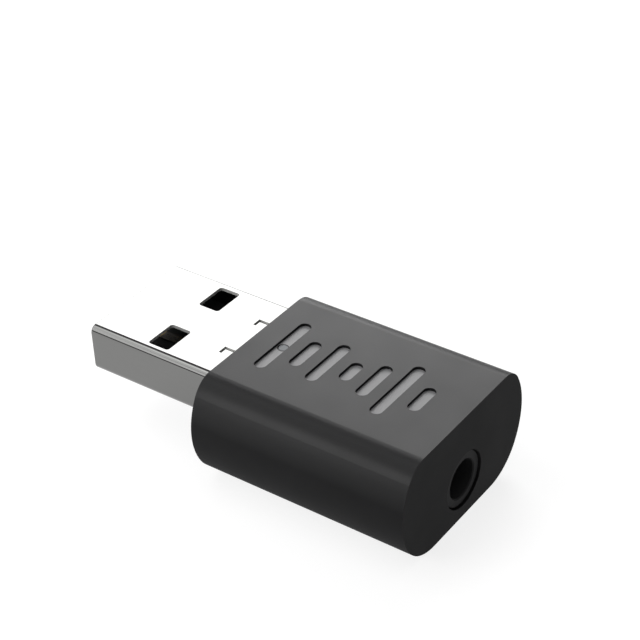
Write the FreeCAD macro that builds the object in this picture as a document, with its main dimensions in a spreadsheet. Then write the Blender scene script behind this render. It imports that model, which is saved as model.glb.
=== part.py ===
import FreeCAD, Part
import math
import os

import Sketcher

# A USB audio adapter: a metal plug at one end, a headphone jack at the other.
# X runs from the plug's tip to the jack's mouth, Z points up, Y = 0 is the middle plane.
# The origin lies on the underside, midway along the whole length. Lengths are millimetres.

SIZES = [
    # Housing
    ("body_length", 20.7),
    ("body_width", 18.45),
    ("body_height", 10.3),
    ("wall", 1.0),
    ("end_wall", 1.2),
    ("top_edge_radius", 2.1),
    ("shoulder_radius", 2.8),
    ("belly_radius", 4.5),
    ("rim_wall", 0.7),
    ("groove_wall", 1.7),
    ("rail_bite", 0.6),
    ("rail_lip", 0.8),
    ("cradle_thick", 0.8),
    ("cradle_rise", 1.3),
    ("cradle_length", 3.0),
    # Recessed sound-level bars
    ("bar_width", 1.15),
    ("bar_pitch", 2.285),
    ("bar_start", 2.87),
    ("bar_span", 7.35),
    ("recess_depth", 0.27),
    # Light pipe and its boss
    ("pipe_radius", 0.4),
    ("pipe_gap", 0.05),
    ("pipe_collar_radius", 0.75),
    ("pipe_collar_thick", 0.3),
    ("boss_radius", 1.1),
    ("boss_drop", 0.6),
    # Plate in the plug end
    ("plate_thick", 1.2),
    ("plate_gap", 0.04),
    ("hook_width", 1.2),
    ("hook_spread", 7.5),
    ("hook_thick", 0.8),
    ("hook_reach", 2.4),
    ("barb_height", 0.35),
    ("barb_length", 0.9),
    # Folded plug shell
    ("plug_width", 12.0),
    ("plug_height", 4.5),
    ("plug_reach", 13.3),
    ("plug_drop", 0.77),
    ("plug_gap", 0.04),
    ("sheet_thick", 0.3),
    ("bend_radius", 0.65),
    ("mouth_rounding", 0.1),
    ("shell_inside", 1.7),
    ("window_length", 2.17),
    ("window_width", 3.25),
    ("window_spread", 6.87),
    ("window_from_tip", 6.72),
    ("window_corner", 0.3),
    ("lance_width", 0.92),
    ("lance_spread", 4.82),
    ("lance_from_tip", 11.53),
    ("lance_length", 2.4),
    ("lance_drop", 0.15),
    ("lance_slit", 0.1),
    ("leg_reach", 2.7),
    ("leg_height", 1.9),
    # Seam where the folded sheet meets, underneath
    ("seam_gap", 0.06),
    ("seam_offset", 0.1),
    ("dovetail_from_tip", 1.2),
    ("dovetail_length", 2.0),
    ("dovetail_depth", 1.0),
    ("dovetail_flare", 0.12),
    ("seam_step_from_tip", 7.75),
    ("seam_step", 0.7),
    # Plastic block and tongue in the plug
    ("tongue_thick", 1.95),
    ("tongue_setback", 0.6),
    ("tongue_chamfer", 0.35),
    ("block_from_tip", 11.7),
    # Strip contacts
    ("contact_width", 1.0),
    ("contact_thick", 0.25),
    ("contact_proud", 0.05),
    ("contact_nose", 0.15),
    ("power_spread", 7.0),
    ("data_spread", 2.0),
    ("power_from_tip", 1.3),
    ("data_from_tip", 2.2),
    ("tail_reach", 2.2),
    # Circuit board
    ("board_thick", 0.8),
    ("board_gap", 0.05),
    ("board_end_gap", 1.7),
    ("board_corner", 0.5),
    ("notch_gap", 0.1),
    # Headphone jack
    ("jack_height", 3.8),
    ("jack_width", 6.0),
    ("jack_below", 2.5),
    ("bore_radius", 1.8),
    ("throat_length", 3.1),
    ("chamber_radius", 2.0),
    ("bore_depth", 14.1),
    ("bore_end_wall", 1.1),
    ("mouth_chamfer", 0.1),
    ("nose_radius", 2.5),
    ("nose_gap", 0.15),
    ("nose_setback", 0.2),
    ("jack_play", 0.05),
    ("peg_radius", 0.4),
    ("peg_gap", 0.05),
    ("peg_spread", 8.0),
    # Springs in the jack
    ("spring_thick", 0.2),
    ("spring_width", 1.0),
    ("spring_length", 3.0),
    ("spring_bite", 0.3),
    ("spring_gap", 0.1),
    ("spring_skin", 0.2),
    ("pin_width", 0.9),
    ("pin_proud", 0.4),
    ("tip_depth", 12.9),
    ("ring_depth", 9.3),
    ("sleeve_depth", 4.9),
    # Parts soldered to the board; what lies at a side keeps its distance from that edge
    ("radio_side", 4.0),
    ("radio_thick", 0.85),
    ("radio_bevel", 0.2),
    ("radio_from_plug", 9.3),
    ("crystal_length", 2.5),
    ("crystal_width", 2.0),
    ("crystal_thick", 0.7),
    ("crystal_rim", 0.15),
    ("crystal_from_plug", 10.0),
    ("crystal_from_edge", 1.65),
    ("antenna_length", 3.2),
    ("antenna_width", 1.6),
    ("antenna_thick", 1.1),
    ("antenna_from_rear", 3.6),
    ("antenna_from_edge", 1.5),
    ("regulator_length", 2.0),
    ("regulator_width", 1.25),
    ("regulator_thick", 0.95),
    ("regulator_span", 2.1),
    ("regulator_lead", 0.3),
    ("regulator_from_plug", 6.6),
    ("regulator_from_edge", 1.75),
    ("coil_side", 2.0),
    ("coil_thick", 1.2),
    ("coil_corner", 0.3),
    ("coil_waist", 0.25),
    ("coil_from_plug", 6.6),
    ("coil_from_edge", 1.7),
    ("lamp_length", 1.6),
    ("lamp_width", 0.8),
    ("lamp_thick", 0.45),
    ("supply_length", 1.6),
    ("supply_width", 0.8),
    ("supply_thick", 0.8),
    ("supply_from_plug", 6.1),
    ("supply_spread", 2.2),
    ("audio_length", 3.2),
    ("audio_width", 1.6),
    ("audio_thick", 1.2),
    ("audio_from_rear", 3.5),
    ("audio_aside", 2.6),
    ("audio_spread", 2.4),
    ("cap_proud", 0.03),
    ("small_length", 1.0),
    ("small_width", 0.5),
    ("small_thick", 0.45),
    ("decoupling_pitch", 1.3),
    ("decoupling_from_edge", 1.1),
    ("decoupling_from_plug", 8.5),
    ("resistor_aside", 2.2),
    ("resistor_pitch", 1.0),
    ("resistor_from_plug", 12.3),
]

# Each bar's length as a share of bar_span, from the plug end to the jack end
BAR_SHARES = (1.0, 0.52, 0.78, 0.36, 0.62, 1.0, 0.46)

# Turn of each arc of the housing's section, in degrees: the top edge, the shoulder,
# and the flank on each side of its widest point. The belly takes the rest.
TURN = 30.0

# A cut that must go right through is drawn this many times deeper than its wall
THROUGH = 1.5

# Shares of a board part's own size: a chip's metal cap, a crystal's lower tub, and how far
# apart and how thick a regulator's leads are
CAP_SHARE = 0.22
TUB_SHARE = 0.7
LEAD_SPREAD_SHARE = 0.65
LEAD_THICK_SHARE = 0.15

# Where a spring's leaf bends, as shares of half its length from its apex
LEAF_BENDS = (-0.5, -0.1, 0.1, 0.8)

SUB_PARTS = []

doc = FreeCAD.newDocument("adapter")
sheet = doc.addObject("Spreadsheet::Sheet", "Sizes")


class Size:
    """A length: its value now, and the expression on the sheet that it follows."""

    def __init__(self, value, text):
        self.value = value
        self.text = text

    def __add__(self, other):
        other = as_size(other)
        return Size(self.value + other.value, f"({self.text} + {other.text})")

    def __sub__(self, other):
        other = as_size(other)
        return Size(self.value - other.value, f"({self.text} - {other.text})")

    def __mul__(self, factor):
        return Size(self.value * factor, f"({self.text} * {factor!r})")

    def __truediv__(self, factor):
        return Size(self.value / factor, f"({self.text} / {factor!r})")

    def __neg__(self):
        return Size(-self.value, f"(-1 * {self.text})")

    def __float__(self):
        return float(self.value)


def as_size(item):
    """Return a plain number as a Size, and a Size as it is."""
    if isinstance(item, Size):
        return item
    return Size(float(item), repr(float(item)))


def fill_sheet():
    """Write the driving sizes to the sheet and return them by name."""
    sizes = {}
    for row, (name, value) in enumerate(SIZES, start=1):
        sheet.set(f"A{row}", name)
        sheet.set(f"B{row}", str(value))
        sheet.setAlias(f"B{row}", name)
        sizes[name] = Size(float(value), f"Sizes.{name}")
    doc.recompute()
    return sizes


def bind(thing, path, size):
    """Let a property of an object follow a Size."""
    thing.setExpression(path, as_size(size).text)


def new_body(label):
    """Start the body of one sub-part."""
    body = doc.addObject("PartDesign::Body", label)
    body.Label = label
    SUB_PARTS.append(body)
    return body


def new_sketch(body, name, role, offset=0.0):
    """Add a sketch on one of the body's own origin planes, moved along its normal."""
    plane = next(f for f in body.Origin.OriginFeatures if f.Role == role)
    sketch = body.newObject("Sketcher::SketchObject", f"{body.Name}_{name}")
    sketch.AttachmentSupport = [(plane, "")]
    sketch.MapMode = "FlatFace"
    distance = as_size(offset)
    sketch.AttachmentOffset = FreeCAD.Placement(
        FreeCAD.Vector(0, 0, distance.value), FreeCAD.Rotation()
    )
    bind(sketch, "AttachmentOffset.Base.z", distance)
    return sketch


def hold(sketch, kind, *where, size):
    """Add a driving constraint that follows a Size."""
    size = as_size(size)
    value = math.radians(size.value) if kind == "Angle" else size.value
    index = sketch.addConstraint(Sketcher.Constraint(kind, *where, value))
    bind(sketch, f"Constraints[{index}]", size)


def pin(sketch, geometry, point, across, up):
    """Fix a point of a sketch at two coordinates."""
    hold(sketch, "DistanceX", geometry, point, size=across)
    hold(sketch, "DistanceY", geometry, point, size=up)


def draw_polygon(sketch, corners):
    """Draw a closed outline of straight lines through corners given as pairs of Sizes."""
    spots = [FreeCAD.Vector(float(a), float(b), 0) for a, b in corners]
    count = len(spots)
    lines = []
    for i, spot in enumerate(spots):
        line = Part.LineSegment(spot, spots[(i + 1) % count])
        lines.append(sketch.addGeometry(line, False))
    for i, line in enumerate(lines):
        following = lines[(i + 1) % count]
        sketch.addConstraint(Sketcher.Constraint("Coincident", line, 2, following, 1))
    for line, (across, up) in zip(lines, corners):
        pin(sketch, line, 1, across, up)


def draw_rectangle(sketch, left, right, low, high):
    """Draw a rectangle between four coordinates."""
    draw_polygon(sketch, [(left, low), (right, low), (right, high), (left, high)])


def draw_round_rectangle(sketch, left, right, low, high, radius):
    """Draw a rectangle whose corners are arcs of one radius."""
    x0, x1, y0, y1, r = (float(v) for v in (left, right, low, high, radius))
    ends = [
        ((x0 + r, y0), (x1 - r, y0)),
        ((x1, y0 + r), (x1, y1 - r)),
        ((x1 - r, y1), (x0 + r, y1)),
        ((x0, y1 - r), (x0, y0 + r)),
    ]
    middles = [(x1 - r, y0 + r), (x1 - r, y1 - r), (x0 + r, y1 - r), (x0 + r, y0 + r)]
    lines = []
    arcs = []
    for (a, b), (cx, cy), quarter in zip(ends, middles, (3, 0, 1, 2)):
        line = Part.LineSegment(FreeCAD.Vector(*a, 0), FreeCAD.Vector(*b, 0))
        lines.append(sketch.addGeometry(line, False))
        circle = Part.Circle(FreeCAD.Vector(cx, cy, 0), FreeCAD.Vector(0, 0, 1), r)
        start = quarter * math.pi / 2
        arc = Part.ArcOfCircle(circle, start, start + math.pi / 2)
        arcs.append(sketch.addGeometry(arc, False))
    for i in range(4):
        following = lines[(i + 1) % 4]
        sketch.addConstraint(Sketcher.Constraint("Tangent", lines[i], 2, arcs[i], 1))
        sketch.addConstraint(Sketcher.Constraint("Tangent", arcs[i], 2, following, 1))
        direction = "Vertical" if i % 2 else "Horizontal"
        sketch.addConstraint(Sketcher.Constraint(direction, lines[i]))
    for arc in arcs[1:]:
        sketch.addConstraint(Sketcher.Constraint("Equal", arcs[0], arc))
    hold(sketch, "Radius", arcs[0], size=radius)
    hold(sketch, "DistanceY", lines[0], 1, size=low)
    hold(sketch, "DistanceX", lines[1], 1, size=right)
    hold(sketch, "DistanceY", lines[2], 1, size=high)
    hold(sketch, "DistanceX", lines[3], 1, size=left)


def draw_circle(sketch, across, up, radius):
    """Draw a circle at two coordinates."""
    centre = FreeCAD.Vector(float(across), float(up), 0)
    circle = Part.Circle(centre, FreeCAD.Vector(0, 0, 1), float(radius))
    index = sketch.addGeometry(circle, False)
    hold(sketch, "Radius", index, size=radius)
    pin(sketch, index, 3, across, up)


def draw_bar(sketch, across, half_length, radius):
    """Draw a round-ended bar across the middle plane."""
    x, reach, r = float(across), float(half_length), float(radius)
    normal = FreeCAD.Vector(0, 0, 1)
    far = Part.Circle(FreeCAD.Vector(x, reach, 0), normal, r)
    near = Part.Circle(FreeCAD.Vector(x, -reach, 0), normal, r)
    far_arc = sketch.addGeometry(Part.ArcOfCircle(far, 0, math.pi), False)
    near_arc = sketch.addGeometry(Part.ArcOfCircle(near, math.pi, 2 * math.pi), False)
    left = Part.LineSegment(FreeCAD.Vector(x - r, reach, 0), FreeCAD.Vector(x - r, -reach, 0))
    right = Part.LineSegment(FreeCAD.Vector(x + r, -reach, 0), FreeCAD.Vector(x + r, reach, 0))
    left_line = sketch.addGeometry(left, False)
    right_line = sketch.addGeometry(right, False)
    sketch.addConstraint(Sketcher.Constraint("Tangent", far_arc, 2, left_line, 1))
    sketch.addConstraint(Sketcher.Constraint("Tangent", left_line, 2, near_arc, 1))
    sketch.addConstraint(Sketcher.Constraint("Tangent", near_arc, 2, right_line, 1))
    sketch.addConstraint(Sketcher.Constraint("Tangent", right_line, 2, far_arc, 1))
    sketch.addConstraint(Sketcher.Constraint("Vertical", left_line))
    sketch.addConstraint(Sketcher.Constraint("Equal", far_arc, near_arc))
    hold(sketch, "Radius", far_arc, size=radius)
    pin(sketch, far_arc, 3, across, half_length)
    hold(sketch, "DistanceY", near_arc, 3, size=-as_size(half_length))


def strip_outline(path, thick):
    """Return the corners of a bent strip: a path, and the same path moved to its left."""
    count = len(path)
    spots = [(float(a), float(b)) for a, b in path]
    normals = []
    for (ax, ay), (bx, by) in zip(spots, spots[1:]):
        length = math.hypot(bx - ax, by - ay)
        normals.append((-(by - ay) / length, (bx - ax) / length))
    moved = []
    for i in range(count):
        first = normals[max(i - 1, 0)]
        second = normals[min(i, count - 2)]
        share = 1.0 + first[0] * second[0] + first[1] * second[1]
        across = (first[0] + second[0]) / share
        up = (first[1] + second[1]) / share
        moved.append((path[i][0] + thick * across, path[i][1] + thick * up))
    return list(path) + moved[::-1]


def pad(body, sketch, length, backwards=False):
    """Add material from a sketch along its normal, or against it."""
    feature = body.newObject("PartDesign::Pad", f"{sketch.Name}_pad")
    feature.Profile = sketch
    feature.Reversed = backwards
    feature.Length = float(length)
    bind(feature, "Length", length)
    doc.recompute()
    return feature


def pad_both_ways(body, sketch, length):
    """Add material from a sketch, half of it on each side."""
    feature = pad(body, sketch, length)
    feature.Midplane = True
    doc.recompute()
    return feature


def pocket(body, sketch, depth, along_normal=False):
    """Cut from a sketch against its normal, or along it, and check that it cut."""
    before = body.Tip.Shape.Volume
    feature = body.newObject("PartDesign::Pocket", f"{sketch.Name}_cut")
    feature.Profile = sketch
    feature.Reversed = along_normal
    feature.Length = float(depth)
    bind(feature, "Length", depth)
    doc.recompute()
    if feature.Shape.isNull() or feature.Shape.Volume > before - 1e-6:
        raise RuntimeError(f"{feature.Name} cut nothing")
    return feature


def edge_names(shape, test):
    """Return the names of the edges whose bounding box passes a test."""
    names = []
    for index, edge in enumerate(shape.Edges, start=1):
        if test(edge.BoundBox):
            names.append(f"Edge{index}")
    if not names:
        raise RuntimeError("no edge found")
    return names


def dress(body, kind, test, size):
    """Round or bevel the edges that pass a test."""
    base = body.Tip
    names = edge_names(base.Shape, test)
    feature = body.newObject(f"PartDesign::{kind}", f"{body.Name}_{kind}")
    feature.Base = (base, names)
    path = "Radius" if kind == "Fillet" else "Size"
    setattr(feature, path, float(size))
    bind(feature, path, size)
    doc.recompute()
    return feature


def near(value, target):
    """Say whether a coordinate lies on a plane."""
    return abs(value - float(target)) < 1e-4


def draw_section(sketch, inset):
    """Draw the housing's section, moved inwards: flats joined by four tangent arcs a side.

    Each side turns from level to level through a tight top edge, a wider shoulder, a
    long flank and a round belly. The flank's radius follows from the other sizes.
    """
    turn = math.radians(TURN)
    top_radius = s["top_edge_radius"] - inset
    shoulder = s["shoulder_radius"] - inset
    belly = s["belly_radius"] - inset
    half_width = s["body_width"] / 2 - inset
    low = as_size(inset)
    high = s["body_height"] - inset
    top_r, shoulder_r, belly_r = float(top_radius), float(shoulder), float(belly)
    taken = top_r * (1 - math.cos(turn))
    taken += shoulder_r * (math.cos(turn) - math.sin(turn))
    taken += belly_r * (1 - math.sin(turn))
    flank_r = (float(high) - float(low) - taken) / (2 * math.sin(turn))
    middle = float(low) + belly_r * (1 - math.sin(turn)) + flank_r * math.sin(turn)
    flank_x = float(half_width) - flank_r
    shoulder_x = flank_x + (flank_r - shoulder_r) * math.cos(turn)
    shoulder_z = middle + (flank_r - shoulder_r) * math.sin(turn)
    top_x = shoulder_x + (shoulder_r - top_r) * math.sin(turn)
    top_z = shoulder_z + (shoulder_r - top_r) * math.cos(turn)
    belly_x = flank_x + (flank_r - belly_r) * math.cos(turn)
    belly_z = middle - (flank_r - belly_r) * math.sin(turn)
    # Centre, radius, and the start and end of each arc on the +Y side, in degrees
    arcs = [
        (belly_x, belly_z, belly_r, -90.0, -TURN),
        (flank_x, middle, flank_r, -TURN, 0.0),
        (flank_x, middle, flank_r, 0.0, TURN),
        (shoulder_x, shoulder_z, shoulder_r, TURN, 90.0 - TURN),
        (top_x, top_z, top_r, 90.0 - TURN, 90.0),
    ]
    mirrored = [(-x, z, r, 180.0 - end, 180.0 - start) for x, z, r, start, end in arcs[::-1]]
    chain = []
    for x, z, r, start, end in arcs:
        chain.append(add_arc(sketch, x, z, r, start, end))
    top = Part.LineSegment(FreeCAD.Vector(top_x, float(high), 0), FreeCAD.Vector(-top_x, float(high), 0))
    top_line = sketch.addGeometry(top, False)
    chain.append(top_line)
    for x, z, r, start, end in mirrored:
        chain.append(add_arc(sketch, x, z, r, start, end))
    base = Part.LineSegment(FreeCAD.Vector(-belly_x, float(low), 0), FreeCAD.Vector(belly_x, float(low), 0))
    base_line = sketch.addGeometry(base, False)
    chain.append(base_line)
    for i, item in enumerate(chain):
        following = chain[(i + 1) % len(chain)]
        sketch.addConstraint(Sketcher.Constraint("Tangent", item, 2, following, 1))
    sketch.addConstraint(Sketcher.Constraint("Horizontal", top_line))
    sketch.addConstraint(Sketcher.Constraint("Horizontal", base_line))
    right = chain[0:5]
    left = chain[6:11]
    for a, b in ((right[1], right[2]), (left[2], left[3]), (right[0], left[4]),
                 (right[3], left[1]), (right[4], left[0])):
        sketch.addConstraint(Sketcher.Constraint("Equal", a, b))
    hold(sketch, "Radius", right[0], size=belly)
    hold(sketch, "Radius", right[3], size=shoulder)
    hold(sketch, "Radius", right[4], size=top_radius)
    sketch.addConstraint(Sketcher.Constraint("Horizontal", right[1], 3, right[1], 2))
    sketch.addConstraint(Sketcher.Constraint("Horizontal", left[2], 3, left[2], 2))
    for arc in (right[1], right[2], right[4], left[0], left[2], left[3]):
        hold(sketch, "Angle", arc, size=TURN)
    hold(sketch, "DistanceX", right[1], 2, size=half_width)
    hold(sketch, "DistanceX", left[2], 2, size=-half_width)
    hold(sketch, "DistanceY", base_line, 1, size=low)
    hold(sketch, "DistanceY", top_line, 1, size=high)


def add_arc(sketch, x, z, radius, start, end):
    """Add an arc between two angles in degrees."""
    circle = Part.Circle(FreeCAD.Vector(x, z, 0), FreeCAD.Vector(0, 0, 1), radius)
    arc = Part.ArcOfCircle(circle, math.radians(start), math.radians(end))
    return sketch.addGeometry(arc, False)


s = fill_sheet()

# Places along X
TIP = -(s["plug_reach"] + s["body_length"]) / 2
FRONT = TIP + s["plug_reach"]
REAR = FRONT + s["body_length"]
END_WALL_INSIDE = REAR - s["end_wall"]
SHELL_REAR = FRONT + s["shell_inside"]
BLOCK_FRONT = TIP + s["block_from_tip"]
BOARD_FRONT = SHELL_REAR
BOARD_STEP = SHELL_REAR + s["leg_reach"] + s["notch_gap"]
BOARD_REAR = REAR - s["board_end_gap"]
NOSE_FRONT = REAR - s["nose_setback"]
JACK_FRONT = END_WALL_INSIDE - s["jack_play"]
BORE_END = NOSE_FRONT - s["bore_depth"]
JACK_REAR = BORE_END - s["bore_end_wall"]

# Places along Z
PLUG_TOP = s["body_height"] - s["plug_drop"]
PLUG_BOTTOM = PLUG_TOP - s["plug_height"]
SHELL_ROOF = PLUG_TOP - s["sheet_thick"]
SHELL_FLOOR = PLUG_BOTTOM + s["sheet_thick"]
TONGUE_TOP = SHELL_FLOOR + s["tongue_thick"]
CONTACT_TOP = TONGUE_TOP + s["contact_proud"]
BOARD_TOP = CONTACT_TOP - s["contact_thick"]
BOARD_BOTTOM = BOARD_TOP - s["board_thick"]
JACK_BOTTOM = s["jack_height"] - s["jack_below"]
RECESS_FLOOR = s["body_height"] - s["recess_depth"]
ROOF = s["body_height"] - s["wall"]

# Places along Y
PLUG_HALF = s["plug_width"] / 2
SHELL_HALF = PLUG_HALF - s["sheet_thick"]
GROOVE_HALF = s["body_width"] / 2 - s["groove_wall"]
BOARD_HALF = GROOVE_HALF - s["board_gap"]
JACK_HALF = s["jack_width"] / 2


def make_housing():
    """Moulded sleeve, closed at the jack end, with rails, cradle, boss and recessed bars."""
    body = new_body("housing")
    outline = new_sketch(body, "section", "YZ_Plane", FRONT)
    draw_section(outline, 0.0)
    pad(body, outline, s["body_length"])

    cavity = new_sketch(body, "cavity", "YZ_Plane", FRONT)
    draw_section(cavity, s["wall"])
    pocket(body, cavity, s["body_length"] - s["end_wall"], along_normal=True)

    seat = new_sketch(body, "rim_seat", "YZ_Plane", FRONT)
    draw_section(seat, s["rim_wall"])
    pocket(body, seat, s["plate_thick"], along_normal=True)

    # Relief in the roof over the part of the plug that lies inside
    relief = new_sketch(body, "roof_relief", "YZ_Plane", FRONT)
    gap = s["plug_gap"]
    draw_rectangle(relief, -PLUG_HALF - gap, PLUG_HALF + gap, SHELL_ROOF, PLUG_TOP + gap)
    pocket(body, relief, s["shell_inside"] + gap, along_normal=True)

    # Rails on both flanks, each with a groove that the board slides into
    rails_start = BOARD_STEP
    rails = new_sketch(body, "rails", "YZ_Plane", rails_start)
    rail_low = BOARD_BOTTOM - s["rail_lip"]
    rail_high = BOARD_TOP + s["rail_lip"]
    rail_inner = GROOVE_HALF - s["rail_bite"]
    rail_outer = s["body_width"] / 2 - s["wall"]
    draw_rectangle(rails, rail_inner, rail_outer, rail_low, rail_high)
    draw_rectangle(rails, -rail_outer, -rail_inner, rail_low, rail_high)
    pad(body, rails, END_WALL_INSIDE - rails_start)
    grooves = new_sketch(body, "grooves", "YZ_Plane", FRONT)
    slot_low = BOARD_BOTTOM - s["board_gap"]
    slot_high = BOARD_TOP + s["board_gap"]
    middle = as_size(0.0)
    draw_rectangle(grooves, middle - GROOVE_HALF, GROOVE_HALF, slot_low, slot_high)
    pocket(body, grooves, s["body_length"] - s["end_wall"], along_normal=True)

    # Two ribs on the floor that flank the jack
    cradle = new_sketch(body, "cradle", "YZ_Plane", END_WALL_INSIDE)
    rib_inner = JACK_HALF + s["jack_play"]
    rib_outer = rib_inner + s["cradle_thick"]
    rib_low = s["wall"] / 2
    rib_high = s["wall"] + s["cradle_rise"]
    draw_rectangle(cradle, rib_inner, rib_outer, rib_low, rib_high)
    draw_rectangle(cradle, -rib_outer, -rib_inner, rib_low, rib_high)
    pad(body, cradle, s["cradle_length"], backwards=True)

    hole = new_sketch(body, "jack_hole", "YZ_Plane", REAR)
    draw_circle(hole, 0.0, s["jack_height"], s["nose_radius"] + s["nose_gap"])
    pocket(body, hole, s["end_wall"] * THROUGH)

    # Boss under the first bar, then the bars, then the light pipe's hole
    boss = new_sketch(body, "boss", "XY_Plane", ROOF - s["boss_drop"])
    draw_circle(boss, FRONT + s["bar_start"], 0.0, s["boss_radius"])
    pad(body, boss, s["boss_drop"] + s["wall"] / 4)
    bars = new_sketch(body, "bars", "XY_Plane", s["body_height"])
    for i, share in enumerate(BAR_SHARES):
        reach = (s["bar_span"] * share - s["bar_width"]) / 2
        place = FRONT + s["bar_start"] + s["bar_pitch"] * i
        draw_bar(bars, place, reach, s["bar_width"] / 2)
    pocket(body, bars, s["recess_depth"])
    pipe_hole = new_sketch(body, "pipe_hole", "XY_Plane", s["body_height"])
    draw_circle(pipe_hole, FRONT + s["bar_start"], 0.0, s["pipe_radius"] + s["pipe_gap"])
    pocket(body, pipe_hole, s["wall"] + s["boss_drop"] * THROUGH)

    # Blind catches in the floor for the plate's two hooks
    catches = new_sketch(body, "catches", "XY_Plane", s["wall"])
    play = s["plate_gap"]
    catch_end = FRONT + s["plate_thick"] + s["hook_reach"] + play
    catch_start = catch_end - s["barb_length"] - play * 2
    for side in (-1, 1):
        centre = s["hook_spread"] / 2 * side
        reach = s["hook_width"] / 2 + play
        draw_rectangle(catches, catch_start, catch_end, centre - reach, centre + reach)
    pocket(body, catches, s["barb_height"] + play)
    return body


def make_end_plate():
    """Plate flush in the plug end, open at the top for the shell, with two snap hooks."""
    body = new_body("end_plate")
    outline = new_sketch(body, "outline", "YZ_Plane", FRONT)
    draw_section(outline, s["rim_wall"] + s["plate_gap"])
    pad(body, outline, s["plate_thick"])
    slot = new_sketch(body, "slot", "YZ_Plane", FRONT)
    gap = s["plug_gap"]
    draw_rectangle(slot, -PLUG_HALF - gap, PLUG_HALF + gap, PLUG_BOTTOM - gap, s["body_height"] + gap)
    pocket(body, slot, s["plate_thick"] * THROUGH, along_normal=True)
    slot_floor = PLUG_BOTTOM - gap
    slot_side = PLUG_HALF + gap

    def slot_corner(box):
        """Pick the two lower corners of the slot."""
        level = near(box.ZMin, slot_floor) and near(box.ZMax, slot_floor)
        return level and near(abs(box.YMin), slot_side) and near(abs(box.YMax), slot_side) and (
            near(box.YMin, box.YMax)
        )

    dress(body, "Fillet", slot_corner, s["bend_radius"])

    # Each hook is an arm along the floor with a barb that drops into its catch
    hooks = new_sketch(body, "hooks", "XZ_Plane", -(s["hook_spread"] + s["hook_width"]) / 2)
    back = FRONT + s["plate_thick"]
    root = back - s["plate_thick"] / 2
    end = back + s["hook_reach"]
    under = s["wall"] + s["plate_gap"]
    over = under + s["hook_thick"]
    barb_start = end - s["barb_length"]
    corners = [
        (root, under),
        (barb_start, under),
        (barb_start, under - s["barb_height"]),
        (end - s["barb_length"] / 2, under - s["barb_height"]),
        (end, under),
        (end, over),
        (root, over),
    ]
    draw_polygon(hooks, corners)
    arm = pad(body, hooks, s["hook_width"])
    pair = body.newObject("PartDesign::Mirrored", "end_plate_hook_pair")
    pair.Originals = [arm]
    middle = next(f for f in body.Origin.OriginFeatures if f.Role == "XZ_Plane")
    pair.MirrorPlane = (middle, [""])
    body.Tip = pair
    doc.recompute()
    return body


def seam_path():
    """Return the line of the sheet's seam, seen from below, from the tip to the rear."""
    straight = -s["seam_offset"]
    first = TIP + s["dovetail_from_tip"]
    last = first + s["dovetail_length"]
    deep = straight - s["dovetail_depth"]
    flare = s["dovetail_flare"]
    step = TIP + s["seam_step_from_tip"]
    return [
        (TIP - s["seam_gap"], straight),
        (first, straight),
        (first - flare, deep),
        (last + flare, deep),
        (last, straight),
        (step, straight),
        (step, straight - s["seam_step"]),
        (SHELL_REAR + s["seam_gap"], straight - s["seam_step"]),
    ]


def make_usb_shell():
    """Plug shell: one sheet folded into a box, with windows, lances, seam and board legs."""
    body = new_body("usb_shell")
    tube = new_sketch(body, "tube", "YZ_Plane", TIP)
    draw_round_rectangle(tube, -PLUG_HALF, PLUG_HALF, PLUG_BOTTOM, PLUG_TOP, s["bend_radius"])
    inner_bend = s["bend_radius"] - s["sheet_thick"]
    draw_round_rectangle(tube, -SHELL_HALF, SHELL_HALF, SHELL_FLOOR, SHELL_ROOF, inner_bend)
    pad(body, tube, s["plug_reach"] + s["shell_inside"])

    def mouth_rim(box):
        """Pick the outer edges of the mouth."""
        level = near(box.XMin, TIP) and near(box.XMax, TIP)
        outer = near(box.YMin, -PLUG_HALF) or near(box.YMax, PLUG_HALF)
        return level and (outer or near(box.ZMin, PLUG_TOP) or near(box.ZMax, PLUG_BOTTOM))

    dress(body, "Fillet", mouth_rim, s["mouth_rounding"])

    windows = new_sketch(body, "windows", "XY_Plane", PLUG_TOP)
    start = TIP + s["window_from_tip"] - s["window_length"] / 2
    end = start + s["window_length"]
    for side in (-1, 1):
        low = s["window_spread"] / 2 * side - s["window_width"] / 2
        draw_round_rectangle(windows, start, end, low, low + s["window_width"], s["window_corner"])
    pocket(body, windows, s["sheet_thick"] * THROUGH)

    # Two lances: tongues cut at the end and pressed down by half the sheet
    lance_start = TIP + s["lance_from_tip"]
    lance_end = lance_start + s["lance_length"]
    pressed = new_sketch(body, "lance_tops", "XY_Plane", PLUG_TOP)
    lowered = new_sketch(body, "lance_undersides", "XY_Plane", SHELL_ROOF - s["lance_drop"])
    slits = new_sketch(body, "lance_slits", "XY_Plane", PLUG_TOP)
    for side in (-1, 1):
        low = s["lance_spread"] / 2 * side - s["lance_width"] / 2
        high = low + s["lance_width"]
        draw_rectangle(pressed, lance_start, lance_end, low, high)
        draw_rectangle(lowered, lance_start + s["lance_slit"], lance_end, low, high)
        draw_rectangle(slits, lance_start, lance_start + s["lance_slit"], low, high)
    pocket(body, pressed, s["lance_drop"])
    pad(body, lowered, s["lance_drop"] * THROUGH)
    pocket(body, slits, s["sheet_thick"] * THROUGH)

    seam = new_sketch(body, "seam", "XY_Plane", PLUG_BOTTOM)
    draw_polygon(seam, strip_outline(seam_path(), s["seam_gap"]))
    pocket(body, seam, s["sheet_thick"] * THROUGH, along_normal=True)

    # Legs that run back from the side walls and grip the board
    legs = new_sketch(body, "legs", "YZ_Plane", SHELL_REAR)
    leg_low = (BOARD_TOP + BOARD_BOTTOM) / 2 - s["leg_height"] / 2
    leg_high = leg_low + s["leg_height"]
    draw_rectangle(legs, SHELL_HALF, PLUG_HALF, leg_low, leg_high)
    draw_rectangle(legs, -PLUG_HALF, -SHELL_HALF, leg_low, leg_high)
    pad(body, legs, s["leg_reach"])
    return body


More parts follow.
